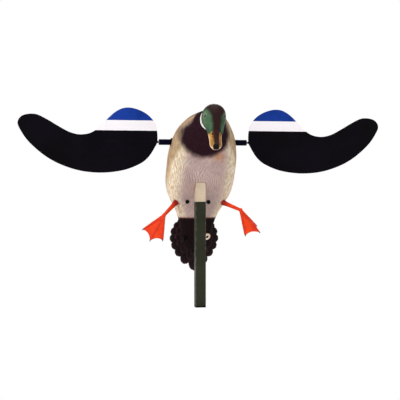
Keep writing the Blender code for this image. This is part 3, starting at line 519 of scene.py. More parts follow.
def body_look():
    """Airbrushed flat paint over moulded feathers: belly, chest, flanks, back and rump."""
    look = Look("body_airbrush", roughness=0.62, specular=0.06)
    cloud = look.noise(28, 5)
    grain = look.noise(420, 3)
    belly = look.clouded(cloud, (198, 173, 166), (182, 155, 150))
    streak = look.noise(150, 4, stretch=(2.2, 1, 0.5))
    cream = look.clouded(streak, (243, 229, 204), (216, 188, 154), 0.42, 0.62)
    tan = look.clouded(look.noise(60, 4), (194, 164, 128), (166, 132, 98))
    colour = look.mix(look.attribute("cream"), belly, cream)
    colour = look.mix(look.attribute("flank"), colour, tan)
    brown = look.clouded(cloud, (112, 92, 78), (84, 66, 56))
    colour = look.mix(look.attribute("back"), colour, brown)
    colour = look.mix(look.attribute("spot"), colour, srgb(196, 136, 88))
    soft = look.ragged(look.noise(70, 5), 0.6)
    chest_edge = look.maths("ADD", look.attribute("chest"), soft)
    chest = look.clouded(grain, (45, 18, 29), (24, 8, 15), 0.3, 0.7)
    stain = look.mix(0.5, colour, srgb(92, 48, 46), "MULTIPLY")
    colour = look.mix(look.remap(chest_edge, 0.0, 0.5), colour, stain)
    colour = look.mix(look.remap(chest_edge, 0.15, 0.95), colour, chest)
    rump_edge = look.maths("ADD", look.attribute("rump"), look.maths("MULTIPLY", soft, 0.4))
    rump = look.clouded(grain, (30, 13, 16), (19, 8, 10), 0.3, 0.7)
    colour = look.mix(look.remap(rump_edge, 0.0, 0.5), colour, srgb(110, 62, 62))
    colour = look.mix(look.remap(rump_edge, 0.2, 0.8), colour, rump)
    # Painted shade in the feather grooves, painted highlight on their tops
    colour = look.grooved(colour, 0.62, 1.1)
    look.colour(look.mix(look.attribute("outside"), srgb(104, 92, 78), colour))
    look.roughness(look.remap(grain, 0.3, 0.7, 0.55, 0.72))
    look.bump(look.noise(900, 3), 0.00012, 0.5)
    return look.material


def simple_look(name, first, second, roughness, metallic=0.0, specular=0.5, scale=60, grain=600, bump=0.00005,
                stretch=None):
    """Two close colours clouded together, with a fine surface grain."""
    look = Look(name, roughness, metallic, specular)
    cloud = look.noise(scale, 5, stretch=stretch)
    look.colour(look.clouded(cloud, first, second, 0.35, 0.68))
    fine = look.noise(grain, 3, stretch=stretch)
    look.roughness(look.remap(fine, 0.3, 0.7, roughness * 0.88, min(1.0, roughness * 1.15)))
    look.bump(fine, bump, 0.6)
    return look.material


def pole_look():
    """Olive enamel on square tube, with a few chips through to the metal, and pale corners that are partly worn
    paint and partly a painted highlight along the edges.
    """
    look = Look("pole_enamel", 0.45, 0.0, 0.12)
    cloud = look.noise(18, 5)
    green = look.clouded(cloud, (46, 48, 34), (38, 40, 30))
    low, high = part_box("pole_tube")
    half = high[0] - 0.0012
    edge = look.maths("ABSOLUTE", look.axis("X"))
    depth = look.maths("ABSOLUTE", look.axis("Y"))
    # Pale corners: partly worn paint, partly a painted highlight along the tube's edges
    corner = look.maths("MULTIPLY", look.remap(edge, half, high[0]), look.remap(depth, half, high[0]))
    rubbed = look.maths("MULTIPLY", corner, look.remap(look.noise(90, 6), 0.45, 0.62))
    chips = look.remap(look.noise(260, 2), 0.735, 0.755)
    bare = look.maths("MAXIMUM", rubbed, chips)
    look.colour(look.mix(bare, green, srgb(128, 124, 104)))
    look.roughness(look.remap(cloud, 0.3, 0.7, 0.38, 0.52))
    look.bump(look.maths("SUBTRACT", look.noise(500, 3), look.maths("MULTIPLY", bare, 0.8)), 0.00008, 0.6)
    return look.material


def wing_look(name, front):
    """Painted sheet: black with a white band and a blue tip by the body in front, plain pale behind."""
    look = Look(name, 0.42, 0.0, 0.03)
    cloud = look.noise(14, 5)
    fine = look.noise(520, 3)
    if not front:
        look.colour(look.clouded(cloud, (226, 224, 218), (214, 211, 204)))
        look.set("Specular IOR Level", 0.3)
    else:
        black = look.clouded(cloud, (13, 9, 17), (9, 7, 10))
        white = look.clouded(fine, (246, 240, 244), (238, 234, 238), 0.3, 0.7)
        blue = look.clouded(cloud, (27, 60, 150), (17, 46, 118))
        height = look.maths("MULTIPLY", look.maths("SUBTRACT", look.axis("Z"), AXLE.z), 1 / MM)
        height = look.maths("ADD", height, look.ragged(look.noise(160, 2), 0.7))
        on_left = look.remap(look.axis("X"), -0.01, 0.01)
        height = look.maths("SUBTRACT", height, look.maths("MULTIPLY", on_left, LEFT_BAND_RISE))
        near = look.remap(look.maths("ABSOLUTE", look.axis("X")), (BAND_REACH + 1) * MM, BAND_REACH * MM)
        colour = black
        for edge, paint in zip(WHITE_BAND, (white, blue)):
            above = look.remap(height, edge - BAND_EDGE, edge + BAND_EDGE)
            colour = look.mix(look.maths("MULTIPLY", above, near), colour, paint)
        look.colour(colour)
    look.roughness(look.remap(fine, 0.3, 0.7, 0.34, 0.46))
    look.bump(fine, 0.00004, 0.5)
    return look.material


def head_look():
    """Green sides with a painted highlight for their sheen, and a dark brown crown, airbrushed into each other;
    painted shade where the head meets the neck.
    """
    look = Look("head_airbrush", roughness=0.42, specular=0.12)
    cloud = look.noise(60, 5)
    fine = look.noise(700, 3)
    green = look.clouded(cloud, (66, 98, 70), (46, 76, 54))
    # Painted highlight by the eye, standing in for the sheen on the green
    olive = look.mix(look.attribute("cheek"), green, srgb(140, 148, 112))
    crown = look.clouded(fine, (48, 25, 24), (28, 12, 14), 0.3, 0.7)
    soft = look.ragged(cloud, 0.3)
    edge = look.maths("ADD", look.attribute("crown"), soft)
    colour = look.mix(look.remap(edge, 0.05, 0.95), olive, crown)
    colour = look.mix(look.maths("MULTIPLY", look.attribute("lid"), 0.35), colour, srgb(140, 150, 126))
    # Painted shade: the head's skin darkens next to the neck ring, where it meets the body
    colour = look.mix(look.attribute("collar"), colour, srgb(30, 24, 22))
    # Painted shade in the feather grooves, painted highlight on their tops
    look.colour(look.grooved(colour, 0.62, 1.1))
    look.roughness(look.remap(fine, 0.3, 0.7, 0.36, 0.5))
    look.bump(fine, 0.00006, 0.5)
    return look.material


def bill_look():
    """Ochre sides, a dark stripe down the middle with painted shade over the right side, a black nail, a pale lip
    and tip painted as a highlight, and green at the base.
    """
    look = Look("bill_paint", roughness=0.36, specular=0.15)
    cloud = look.noise(110, 5)
    ochre = look.clouded(cloud, (196, 150, 72), (132, 90, 36), 0.38, 0.66)
    # Painted highlight: a pale band along the lip and round the tip
    rim = look.mix(look.attribute("rim"), ochre, srgb(236, 200, 168))
    soft = look.ragged(cloud, 0.5)
    # The dark stripe down the middle, with painted shade over the bill's right side
    saddle = look.maths("ADD", look.attribute("saddle"), soft)
    colour = look.mix(look.remap(saddle, 0.1, 0.8), rim, srgb(50, 24, 20))
    colour = look.mix(look.attribute("nail"), colour, srgb(14, 8, 7))
    colour = look.mix(look.attribute("base"), colour, srgb(52, 58, 38))
    look.colour(colour)
    look.roughness(look.remap(cloud, 0.3, 0.7, 0.3, 0.44))
    look.bump(look.noise(420, 3), 0.00006, 0.5)
    return look.material


def foot_look():
    """Orange-red moulded plastic, deeper red along the toes, painted shade at the hip where the body shades the
    leg, and dark claws.
    """
    look = Look("foot_plastic", roughness=0.45, specular=0.12)
    cloud = look.noise(70, 5)
    orange = look.clouded(cloud, (238, 70, 26), (220, 54, 20))
    colour = look.mix(look.attribute("toe"), orange, srgb(198, 44, 30))
    # Painted shade: darker red near the hip, where the body shades the top of the leg
    colour = look.mix(look.attribute("hip"), colour, srgb(150, 26, 24))
    colour = look.mix(look.attribute("claw"), colour, srgb(52, 26, 22))
    look.colour(colour)
    fine = look.noise(600, 3)
    look.roughness(look.remap(fine, 0.3, 0.7, 0.4, 0.55))
    look.bump(fine, 0.0001, 0.6)
    return look.material


def tail_look():
    look = Look("tail_feather_paint", roughness=0.5, specular=0.12)
    cloud = look.noise(40, 5)
    colour = look.clouded(cloud, (25, 9, 12), (13, 5, 7))
    # Painted highlight: lighter feather edges stand in for light catching their ridges
    colour = look.mix(look.attribute("edge"), colour, srgb(64, 34, 37))
    look.colour(colour)
    look.bump(look.noise(800, 3), 0.0001, 0.5)
    return look.material


def jack_look():
    """A pale socket with painted shade down its hole."""
    look = Look("jack_ring_plastic", 0.42)
    ring = get_points(frame["nodes"]["charge_jack_nut"].data)
    line = Vector(np.linalg.svd(ring - ring.mean(axis=0))[2][2])
    kind = "ShaderNodeVectorMath"
    away = look.maths("SUBTRACT", look.coordinates, box_middle("charge_jack_nut"), kind, "Vector")
    cross = look.maths("CROSS_PRODUCT", away, line, kind, "Vector")
    radius = look.maths("LENGTH", cross, (0, 0, 0), kind)
    cloud = look.noise(200, 3)
    pale = look.clouded(cloud, (244, 220, 204), (228, 198, 180), 0.35, 0.68)
    # Painted shade: dark inside the bore's radius, pale outside it
    look.colour(look.mix(look.remap(radius, 0.0031, 0.0034), srgb(24, 15, 14), pale))
    look.bump(look.noise(600, 3), 0.00005, 0.6)
    return look.material


MATERIALS = {
    "body_paint": body_look(),
    "head_paint": head_look(),
    "bill": bill_look(),
    "leg_plastic": foot_look(),
    "tail_paint": tail_look(),
    "pole_paint": pole_look(),
    "wing_sheet": wing_look("wing_paint_front", True),
    "wing_back": wing_look("wing_paint_back", False),
    "ring": simple_look("neck_ring_white", (250, 246, 240), (236, 230, 222), 0.5),
    "eye": simple_look("eye_gloss", (16, 9, 7), (26, 14, 9), 0.08, scale=300),
    "pale_plastic": simple_look("post_plastic", (208, 189, 164), (192, 172, 146), 0.5, specular=0.2, scale=30,
                        bump=0.0001),
    "black_plastic": simple_look("black_nylon", (17, 14, 17), (11, 9, 11), 0.45, specular=0.1, bump=0.00012),
    "hub_plastic": simple_look("hub_acetal", (5, 4, 27), (3, 2, 18), 0.4, specular=0.03),
    "steel": simple_look("plated_steel", (176, 176, 178), (150, 150, 154), 0.28, 1.0, scale=40,
                         stretch=(1, 1, 12)),
    "motor_steel": simple_look("motor_can_steel", (150, 150, 152), (128, 128, 132), 0.34, 1.0),
    "copper": simple_look("copper_winding", (184, 112, 66), (150, 84, 46), 0.35, 1.0, scale=200),
    "magnet": simple_look("nickel_magnet", (132, 132, 134), (112, 112, 116), 0.3, 1.0),
    "foam": simple_look("gasket_foam", (34, 34, 35), (22, 22, 23), 0.95, specular=0.1, scale=900,
                        grain=1500, bump=0.0003),
    "battery_case": simple_look("battery_moulding", (44, 45, 48), (34, 35, 38), 0.5, specular=0.35),
    "webbing": simple_look("strap_webbing", (30, 30, 31), (18, 18, 19), 0.9, specular=0.1, scale=1200,
                           grain=1800, bump=0.0002, stretch=(1, 3, 1)),
    "red_wire": simple_look("red_insulation", (176, 26, 22), (150, 18, 16), 0.4),
    "black_wire": simple_look("black_insulation", (20, 20, 21), (14, 14, 15), 0.4),
    "dark_steel": simple_look("blackened_steel", (52, 48, 50), (36, 33, 35), 0.4, 1.0),
    "jack": jack_look(),
}
# Nodes that do not look like the rest of their slot
NODE_LOOKS = {"charge_jack_body": "jack", "switch_nut": "dark_steel", "switch_lever": "dark_steel"}
for rivet in ("left_inner", "left_outer", "right_inner", "right_outer"):
    NODE_LOOKS["wing_rivet_" + rivet] = "wing_sheet"


def finish_cad_nodes():
    """Every carried-over piece takes the procedural look of its slot, and square pieces get worn edges."""
    slots = {row["node"]: row["material_slot"] for row in frame["record"]["subparts"]}
    for name, obj in frame["nodes"].items():
        look = MATERIALS[NODE_LOOKS.get(name, slots[name])]
        obj.data.materials.clear()
        obj.data.materials.append(look)
    rounded = {"pole_tube": 0.0012, "pole_end_plug": 0.0006, "support_post": 0.0008, "switch_body": 0.0004,
               "battery_case": 0.0003, "motor_bracket": 0.0004, "battery_tray": 0.0004}
    for name, width in rounded.items():
        soften_edges(frame["nodes"][name], width, 3, 50)


# ---- body

def body_relief(rings, side, rise, place):
    """Feather height in millimetres over the body, and the masks that its paint follows."""
    along, around, total = arc_lengths(rings)
    fraction = around / total
    x, y, z = rings[..., 0], rings[..., 1], rings[..., 2]
    back = smoothstep(-0.05, 0.35, rise)
    flank_side = smoothstep(0.8, 0.93, np.abs(side))
    # The dark breast is airbrushed a little to the right of the middle, and runs up round the neck.
    drop = z - 8
    oval = np.sqrt(((x + 6.5) / 52) ** 2 + (drop / np.where(drop < 0, 43.5, 49)) ** 2)
    chest = smoothstep(1.2, 0.78, oval + 0.2 * smoothstep(20, 50, z) * smoothstep(-20, -45, x))
    chest = chest * smoothstep(0.7, 0.2, rise)
    chest = np.maximum(chest, smoothstep(-76, -86, y))
    edge_height = RUMP_HEIGHT + 46 * smoothstep(0.1, 0.8, rise)
    rump = smoothstep(edge_height + 7, edge_height - 5, z)

    small, _ = feather_scales(fraction * 44, along / SMALL_FEATHER)
    large, large_spine = feather_scales(fraction * 22, along / LARGE_FEATHER)
    wobble = 1.8 * np.sin(0.07 * x + 0.05 * z + 0.4) + 1.2 * np.sin(0.13 * z - 0.11 * x + 1.3)
    wobble += 0.9 * np.sin(0.31 * z + 0.17 * x + 0.7) + 0.5 * np.sin(0.7 * z - 0.25 * x)
    hair = 0.5 + 0.5 * np.sin((fraction * total + wobble + 0.2 * np.abs(x)) * 2 * np.pi / HAIR_PITCH)
    hair = hair * (0.78 + 0.22 * np.sin(along / 3.4 + 2.5 * np.sin(0.3 * x) + wobble))
    belly_weight = (1 - back) * (1 - flank_side * 0.6) * (1 - chest)
    coarse_weight = np.clip(back + flank_side * 0.6 * (1 - chest), 0, 1) * (1 - chest * 0.8)
    height = 0.85 * belly_weight * hair + 0.15 * belly_weight * large
    height += 0.8 * coarse_weight * large + 0.18 * coarse_weight * large_spine + 0.3 * coarse_weight * hair
    height += 0.45 * np.clip(1 - belly_weight - coarse_weight, 0, 1) * small
    relief = belly_weight * (0.2 + 0.8 * hair) + coarse_weight * (0.7 * large + 0.3 * hair)
    relief = np.clip(relief + (1 - belly_weight - coarse_weight) * small, 0, 1)
    fade = smoothstep(0, 6, along) * smoothstep(0, 10, along[-1:, :] - along)
    ends = smoothstep(0, 0.6, place)[:, None]
    low = smoothstep(20, -60, z)
    flank_side = smoothstep(0.66 + 0.25 * low, 0.88 + 0.1 * low, np.abs(side))
    flank_side = flank_side * (1 - 0.75 * smoothstep(-50, -110, z))
    masks = {
        "chest": chest,
        "flank": np.clip(flank_side * 0.95 + smoothstep(-0.15, 0.1, rise), 0, 1) * (1 - chest),
        "cream": smoothstep(0.47, 0.82, np.abs(side)) * (1 - back),
        "back": smoothstep(0.35, 0.75, rise),
        "rump": rump,
        "relief": relief,
        "outside": np.ones_like(relief),
        "spot": 0.8 * mound(x, z, (25, -33), (12, 9)) * (1 - back),
    }
    return height * fade * ends, masks


def make_body():
    rings, side, rise, place = section_rings(BODY_SECTIONS, RELIEF_ROWS, RELIEF_COLUMNS)
    height, masks = body_relief(rings, side, rise, place)
    skin = rings + ring_normals(rings) * (height - 0.3)[..., None]
    outer = ring_tube("body_outer", placed(skin), MATERIALS["body_paint"])
    set_masks(outer, **masks)

    def hollow(wall):
        rings, _, _, _ = section_rings(BODY_SECTIONS[:-1], 60, 80, -wall)
        return ring_tube("tool", placed(rings))

    def prism(margin):
        half_x, half_y = (half + margin for half in HATCH_HALF)
        outline = rounded_rectangle(half_x, half_y, HATCH_CORNER + margin, HATCH_MIDDLE)
        turn = pitched(HATCH_PITCH, HATCH_CENTRE) @ Matrix.Rotation(math.pi / 2, 4, "X")
        return plate_tool(outline, *HATCH_CUT, turn)

    inner, lid_inner, opening, panel = hollow(BODY_WALL), hollow(LID_WALL), prism(0.5), prism(0.0)
    low, high = (Vector(corner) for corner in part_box("support_post"))
    room = Vector((0.5, 0.5, 0)) * MM
    post = box_tool(low - room, high + room + Vector((0, 0, 20)) * MM)
    steps = [("DIFFERENCE", inner), ("DIFFERENCE", opening), ("DIFFERENCE", post)]
    tools = [inner, lid_inner, opening, panel, post]
    for word in ("left", "right"):
        low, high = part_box("shaft_bushing_" + word)
        middle = Vector(((low[0] + high[0]) / 2, 0, AXLE.z))
        reach = Vector((20, 0, 0)) * MM
        bore = rod_tool(BUSHING_BORE, middle - reach, middle + reach, sides=48)
        steps.append(("DIFFERENCE", bore))
        tools.append(bore)
    shell = carve(outer, steps, "body_skin")
    lid = carve(outer, [("INTERSECT", panel), ("DIFFERENCE", lid_inner)], "hatch_skin")
    for piece in (shell, lid):
        piece.data.set_sharp_from_angle(angle=math.radians(60))
    remove(outer, *tools)
    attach(shell, "decoy")
    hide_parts("body_shell")
    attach(lid, "hatch")
    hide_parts("hatch_lid")


# ---- head

def look_aside(u):
    """How far the turned face has moved sideways at u along the bill's axis."""
    return -FACE_TURN * np.maximum(0.0, u - FACE_START)


def head_at(u, v, x=0.0):
    """A point in millimetres from the head's own axes: u to the bill's tip, v to the crown."""
    (y0, z0), (a, b) = HEAD_MIDDLE, BILL_AIM
    return (x + look_aside(u), y0 + a * u + b * v, z0 + b * u - a * v)


def make_head():
    rings, side, rise, place = section_rings(HEAD_SECTIONS, 150, 200, roundness=HEAD_ROUNDNESS)
    along, around, total = arc_lengths(rings)
    x, y, z = rings[..., 0], rings[..., 1], rings[..., 2]
    y, z = y - HEAD_MIDDLE[0], z - HEAD_MIDDLE[1]
    u = BILL_AIM[0] * y + BILL_AIM[1] * z
    v = BILL_AIM[1] * y - BILL_AIM[0] * z
    scales, _ = feather_scales(around / total * 46, along / 3.6)
    # Full cheeks, and a brow over a shallow socket for each eye
    spot = np.sqrt((u - EYE_PLACE[0]) ** 2 + (v - EYE_PLACE[1]) ** 2)
    on_side = smoothstep(0.4, 0.75, np.abs(side))
    form = 0.9 * mound(u, v, (30, 21), (14, 4)) + 1.2 * mound(u, v, (30, -6), (13, 9))
    height = 0.22 * scales + (form - 1.5 * mound(u, v, EYE_PLACE, (5, 5))) * on_side
    skin = rings + ring_normals(rings) * height[..., None]
    # The feathers at the sides of the face run on beside the bill in a point, and the forehead stops short of
    # them.
    by_bill = smoothstep(4.6, 7.0, place) * smoothstep(8.0, 7.3, place)
    push = (6.5 * np.abs(side) ** 3 - 1.5) * by_bill[:, None]
    skin[..., 0] += look_aside(u)
    skin[..., 1] += BILL_AIM[0] * push
    skin[..., 2] += BILL_AIM[1] * push
    head = ring_tube("head_skin", placed(skin), MATERIALS["head_paint"])
    stripe_half = np.interp(u, [-8, 4, 14, 26, 40, 55], [34, 30, 23, 16.5, 11, 9])
    softness = np.interp(u, [0, 20, 40], [5, 7, 6])
    crown = smoothstep(stripe_half + softness, stripe_half - softness, np.abs(x - 2.5))
    # A pale patch by the eye and another nearer the bill, painted as the green's highlight
    cheek = mound(u, v, (27, 15), (7, 6)) + 0.5 * mound(u, v, (44, 4), (8, 7))
    lid = np.exp(-(((spot - 5.0) / 1.3) ** 2))
    # Painted shade on the head's first 9 mm from the neck
    set_masks(head, crown=crown * smoothstep(0.0, 0.35, rise), cheek=0.35 * cheek * on_side,
              lid=lid * on_side, collar=smoothstep(9, 5, along), relief=scales)
    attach(head, "head")
    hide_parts("head_shell")

    tree = BVHTree.FromPolygons([tuple(p) for p in placed(skin).reshape(-1, 3)], grid_faces(*skin.shape[:2]))
    for sign, word in ((-1, "right"), (1, "left")):
        hit, _, _, _ = tree.ray_cast(at(*head_at(*EYE_PLACE, sign * 60)), Vector((-sign, 0, 0)))
        make_ball("eye_" + word, hit - Vector((sign, 0, 0)) * 2.0 * MM, 3.9, "eye")
        glint = at(*head_at(EYE_PLACE[0] + 1.2, EYE_PLACE[1] + 2.4, 0))
        glint.x = hit.x + sign * 1.3 * MM
        make_ball("eye_glint_" + word, glint, 0.35, "ring")
    make_neck_ring()
    make_bill()


def make_ball(name, centre, radius, look):
    made = ball_object(name, radius, centre, 32, 20, MATERIALS[look])
    made.data.shade_smooth()
    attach(made, "head")


def make_neck_ring():
    """The white neck ring: a low rounded band at the joint."""
    angle = math.radians(NECK_PITCH)
    y0, z0 = NECK_SEAM
    rows = []
    profile = ((0.5, 22.4), (0.9, 23.6), (1.8, 24.3), (3.2, 24.4), (4.4, 23.9), (5.0, 22.6), (5.2, 20.5))
    for distance, radius in profile:
        half = (radius, radius - 1.1, radius - 0.6)
        y, z = y0 - math.cos(angle) * distance, z0 + math.sin(angle) * distance
        rows.append((y, z, NECK_PITCH, *half))
    rings, _, _, _ = section_rings(rows, 25, 120, roundness=HEAD_ROUNDNESS)
    band = ring_tube("neck_ring", placed(rings), MATERIALS["ring"])
    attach(band, "head")


def make_bill():
    """Upper and lower bill as one moulding, from stations along the head's u axis."""
    stations = [
        # u, middle v, half above, half below, half width
        (54, 0.5, 9.5, 11, 13.0),
        (60, -0.6, 10.2, 11.6, 14.8),
        (66, -2.0, 9.2, 10.2, 15.0),
        (73, -3.4, 7.4, 8.2, 13.6),
        (80, -4.4, 5.8, 6.4, 12.5),
        (88, -5.2, 4.6, 4.9, 12.2),
        (95, -5.8, 4.0, 3.8, 12.2),
        (101.5, -6.4, 3.5, 3.0, 11.0),
        (106, -7.1, 2.8, 2.3, 8.2),
        (108.6, -7.8, 1.8, 1.5, 4.8),
        (109.5, -8.2, 0.8, 0.6, 1.8),
    ]
    rows, columns = 130, 160
    table, _ = spline(stations, rows)
    turn = 2 * np.pi * np.arange(columns) / columns
    upper = np.sin(turn) >= 0
    side = signed_power(np.cos(turn), 0.8)
    rise = signed_power(np.sin(turn), np.where(upper, 1.05, 0.7))
    u0, v0, above, below, half = (column[:, None] for column in table.T)
    u = np.broadcast_to(u0, (rows, columns))
    x = side[None, :] * half
    v = v0 + np.where(upper[None, :], above, below) * rise[None, :]
    # A raised ridge down the middle, a rolled lip at the side, the gape line, nostrils and the nail.
    ridge = np.exp(-((x / (3.6 + 0.02 * (u - 60))) ** 2)) * smoothstep(100, 84, u)
    v = v + np.where(upper[None, :], 0.8 * ridge, 0)
    lip = np.exp(-(((np.abs(side)[None, :] - 0.97) / 0.05) ** 2)) * smoothstep(66, 80, u)
    x = x * (1 + 0.035 * lip)
    gape = np.exp(-((rise[None, :] + 0.28) / 0.06) ** 2) * smoothstep(58, 66, u)
    x = x * (1 - 0.05 * gape)
    nostril = mound(np.abs(x), u, (6.4, 74), (1.5, 3.4)) * upper[None, :]
    v = v - 1.9 * nostril
    nail = smoothstep(1.2, 0.85, np.sqrt((x / 6.3) ** 2 + ((u - 104.6) / 7.2) ** 2)) * upper[None, :]
    v = v + 0.7 * nail
    bill = ring_tube("bill", placed(np.stack(head_at(u, v, x), 2)), MATERIALS["bill"])
    width = np.interp(u, [58, 66, 74, 88, 98, 104], [10.5, 9.0, 6.6, 5.4, 5.0, 4.6])
    saddle = smoothstep(width + 2.6, width - 2.6, np.abs(x - 1.6)) * upper[None, :]
    saddle = np.maximum(saddle, nostril * 0.9)
    # Painted shade: the bill's right side takes part of the dark stripe's colour
    saddle = np.maximum(saddle, 0.45 * smoothstep(3, 8, x) * (1 - lip))
    base = smoothstep(66.5, 63.0, u + 0.012 * (15 - np.abs(x)) ** 2)
    # Painted highlight along the lip and round the tip, short of the nail
    rim = np.clip(lip * 0.9 + smoothstep(103, 107, u) * (1 - nail), 0, 1)
    set_masks(bill, base=base, saddle=saddle, nail=nail, rim=rim)
    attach(bill, "head")


# ---- wings

def make_wing(side, word):
    """A painted sheet with a rolled edge, embossed where the rod runs behind it."""
    loop = smooth_loop([(side * x, z) for x, z in WING_OUTLINE], 8)
    stand = Matrix.Translation(at(0, 0, 0)) @ Matrix.Rotation(math.pi / 2, 4, "X")
    panel = plate_tool(loop, -WING_BACK, -WING_FRONT, stand)
    start, end, depth = side * RIB_REACH[0], side * RIB_REACH[1], WING_FRONT + 1.6
    rib = rod_tool(RIB_RADIUS, at(start, depth, 0), at(end, depth, 0), sides=32)
    near, far = sorted((start - side * 9, end + side * 14))
    cut = box_tool(at(near, WING_FRONT + 0.5, -8), at(far, 10, 8))
    low_rib = carve(rib, [("DIFFERENCE", cut)], "tool")
    skin = carve(panel, [("UNION", low_rib)], "wing_skin_" + word)
    remove(panel, rib, cut, low_rib)
    skin.data.materials.clear()
    skin.data.materials.append(MATERIALS["wing_sheet"])
    skin.data.materials.append(MATERIALS["wing_back"])
    for polygon in skin.data.polygons:
        polygon.material_index = 1 if polygon.normal.y > 0.5 else 0
    soften_edges(skin, 0.0004, 2, 60)
    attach(skin, word + "_wing")
    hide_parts("wing_panel_" + word)


# ---- legs

# From the axle, and from the ankle to the toe tips, outer to inner
ANKLES = {"right": (-83.8, 12, -158.8), "left": (86.6, 12, -148.1)}
TOE_TIPS = {
    "right": [(-48.9, 2.1, -32.9), (-32.9, -2.6, -58.0), (-4.1, -4.4, -58.0)],
    "left": [(42.3, 19.3, -37.6), (42.4, -12.1, -51.5), (9.1, -9.6, -59.0)],
}
HIND_TOE = (0, 9.5, 3)
WEB_HALF = 0.9
WEB_REACH = 0.95
WEB_HOLLOW = 0.08


def web_plate(first, second, ankle):
    """A web between two toes, with a hollow edge."""
    across = first.normalized()
    normal = first.cross(second).normalized()
    onward = normal.cross(across)
    outline = [(-1.5, -1.5)]
    for step in range(9):
        t = step / 8
        point = (first * (1 - t) + second * t) * (WEB_REACH - WEB_HOLLOW * math.sin(math.pi * t))
        outline.append((point.dot(across), point.dot(onward)))
    place = Matrix.Translation(ankle) @ Matrix((across, onward, normal)).transposed().to_4x4()
    return plate_tool(outline, -WEB_HALF, WEB_HALF, place)


def make_leg(word):
    """Leg, toes and web as one soft moulding."""
    joint = next(j for j in frame["joints"] if j["name"] == word + "_leg_swivel")
    hip = Vector(joint["pos_m"])
    along = Vector(joint["axis"])
    ankle = at(*ANKLES[word])
    tips = [Vector(tip) for tip in TOE_TIPS[word]]
    parts = [
        rod_tool(6.6, hip + along * 1.6 * MM, hip + along * 14 * MM, 4.9),
        rod_tool(5.0, hip + along * 12 * MM, ankle, 3.5),
        rod_tool(3.0, hip - along * 8 * MM, hip + along * 4 * MM),
        rod_tool(2.4, ankle, ankle + Vector(HIND_TOE) * MM, 1.3),
        ball_object("tool", 4.6, ankle),
    ]
    for tip in tips:
        knuckle, start, end = ankle + tip * 0.5 * MM, ankle + tip * 0.9 * MM, ankle + tip * MM
        parts.append(rod_tool(3.2, ankle, knuckle, 2.4))
        parts.append(ball_object("tool", 2.9, knuckle))
        parts.append(rod_tool(2.6, knuckle, start + (end - start) * 0.3, 1.8))
        parts.append(rod_tool(1.8, start, end, 0.6))
    parts += [web_plate(first, second, ankle) for first, second in zip(tips, tips[1:])]

    shape = bmesh.new()
    for part in parts:
        part.data.transform(part.matrix_world)
        shape.from_mesh(part.data)
    remove(*parts)
    rough = shape_object("tool", shape)
    remesh = rough.modifiers.new("melt", "REMESH")
    remesh.mode = "VOXEL"
    remesh.voxel_size = 0.0006
    smooth = rough.modifiers.new("smooth", "SMOOTH")
    smooth.factor = 0.5
    smooth.iterations = 6
    foot = evaluated_copy(rough, "foot_" + word)
    remove(rough)
    foot.data.materials.clear()
    foot.data.materials.append(MATERIALS["leg_plastic"])
    foot.data.shade_smooth()

    points = get_points(foot.data)
    local = (points - np.array(ankle)) / MM
    from_hip = (points - np.array(hip)) @ np.array(along) / MM
    toe = np.zeros(len(points))
    claw = np.zeros(len(points))
    for tip in tips:
        direction = np.array(tip.normalized())
        reach = local @ direction
        off = np.linalg.norm(local - reach[:, None] * direction, axis=1)
        toe = np.maximum(toe, smoothstep(4.2, 1.8, off) * (reach > 2))
        claw = np.maximum(claw, smoothstep(tip.length - 6, tip.length - 3.5, reach) * (off < 6))
    # The hip mask is painted shade on the leg next to the body
    set_masks(foot, toe=toe * 0.55, claw=claw, hip=smoothstep(24, 6, from_hip))
    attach(foot, word + "_leg")
    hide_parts(word + "_leg")


# ---- tail

def feather_blade(length, width, rows=26, columns=15, crown=2.0):
    """Front and rear points of one feather along +Y, with a crowned vane, a rachis and a rounded tip."""
    t = np.linspace(0, 1, rows)
    tip = np.clip((t - 0.72) / 0.28, 0, 1) ** 2.4
    half = width / 2 * (0.42 + 0.58 * smoothstep(0, 0.55, t)) * np.sqrt(1 - tip)
    s = np.linspace(-1, 1, columns)
    x = half[:, None] * s[None, :]
    y = length * t[:, None] + 0 * s[None, :]
    barbs = 0.12 * np.sin((y + np.abs(x) * 0.9) * 2 * np.pi / 2.6) * (np.abs(s) < 0.97)
    z = crown * (1 - s[None, :] ** 2) * (0.4 + 0.6 * t[:, None]) + 0.55 * np.exp(-((x / 1.1) ** 2)) + barbs
    front = np.stack([x, y, z], 2)
    rear = front.copy()
    rear[..., 2] -= 1.1
    return front, rear


def tail_reach(angle):
    return np.interp(abs(angle), *zip(*TAIL_REACH))


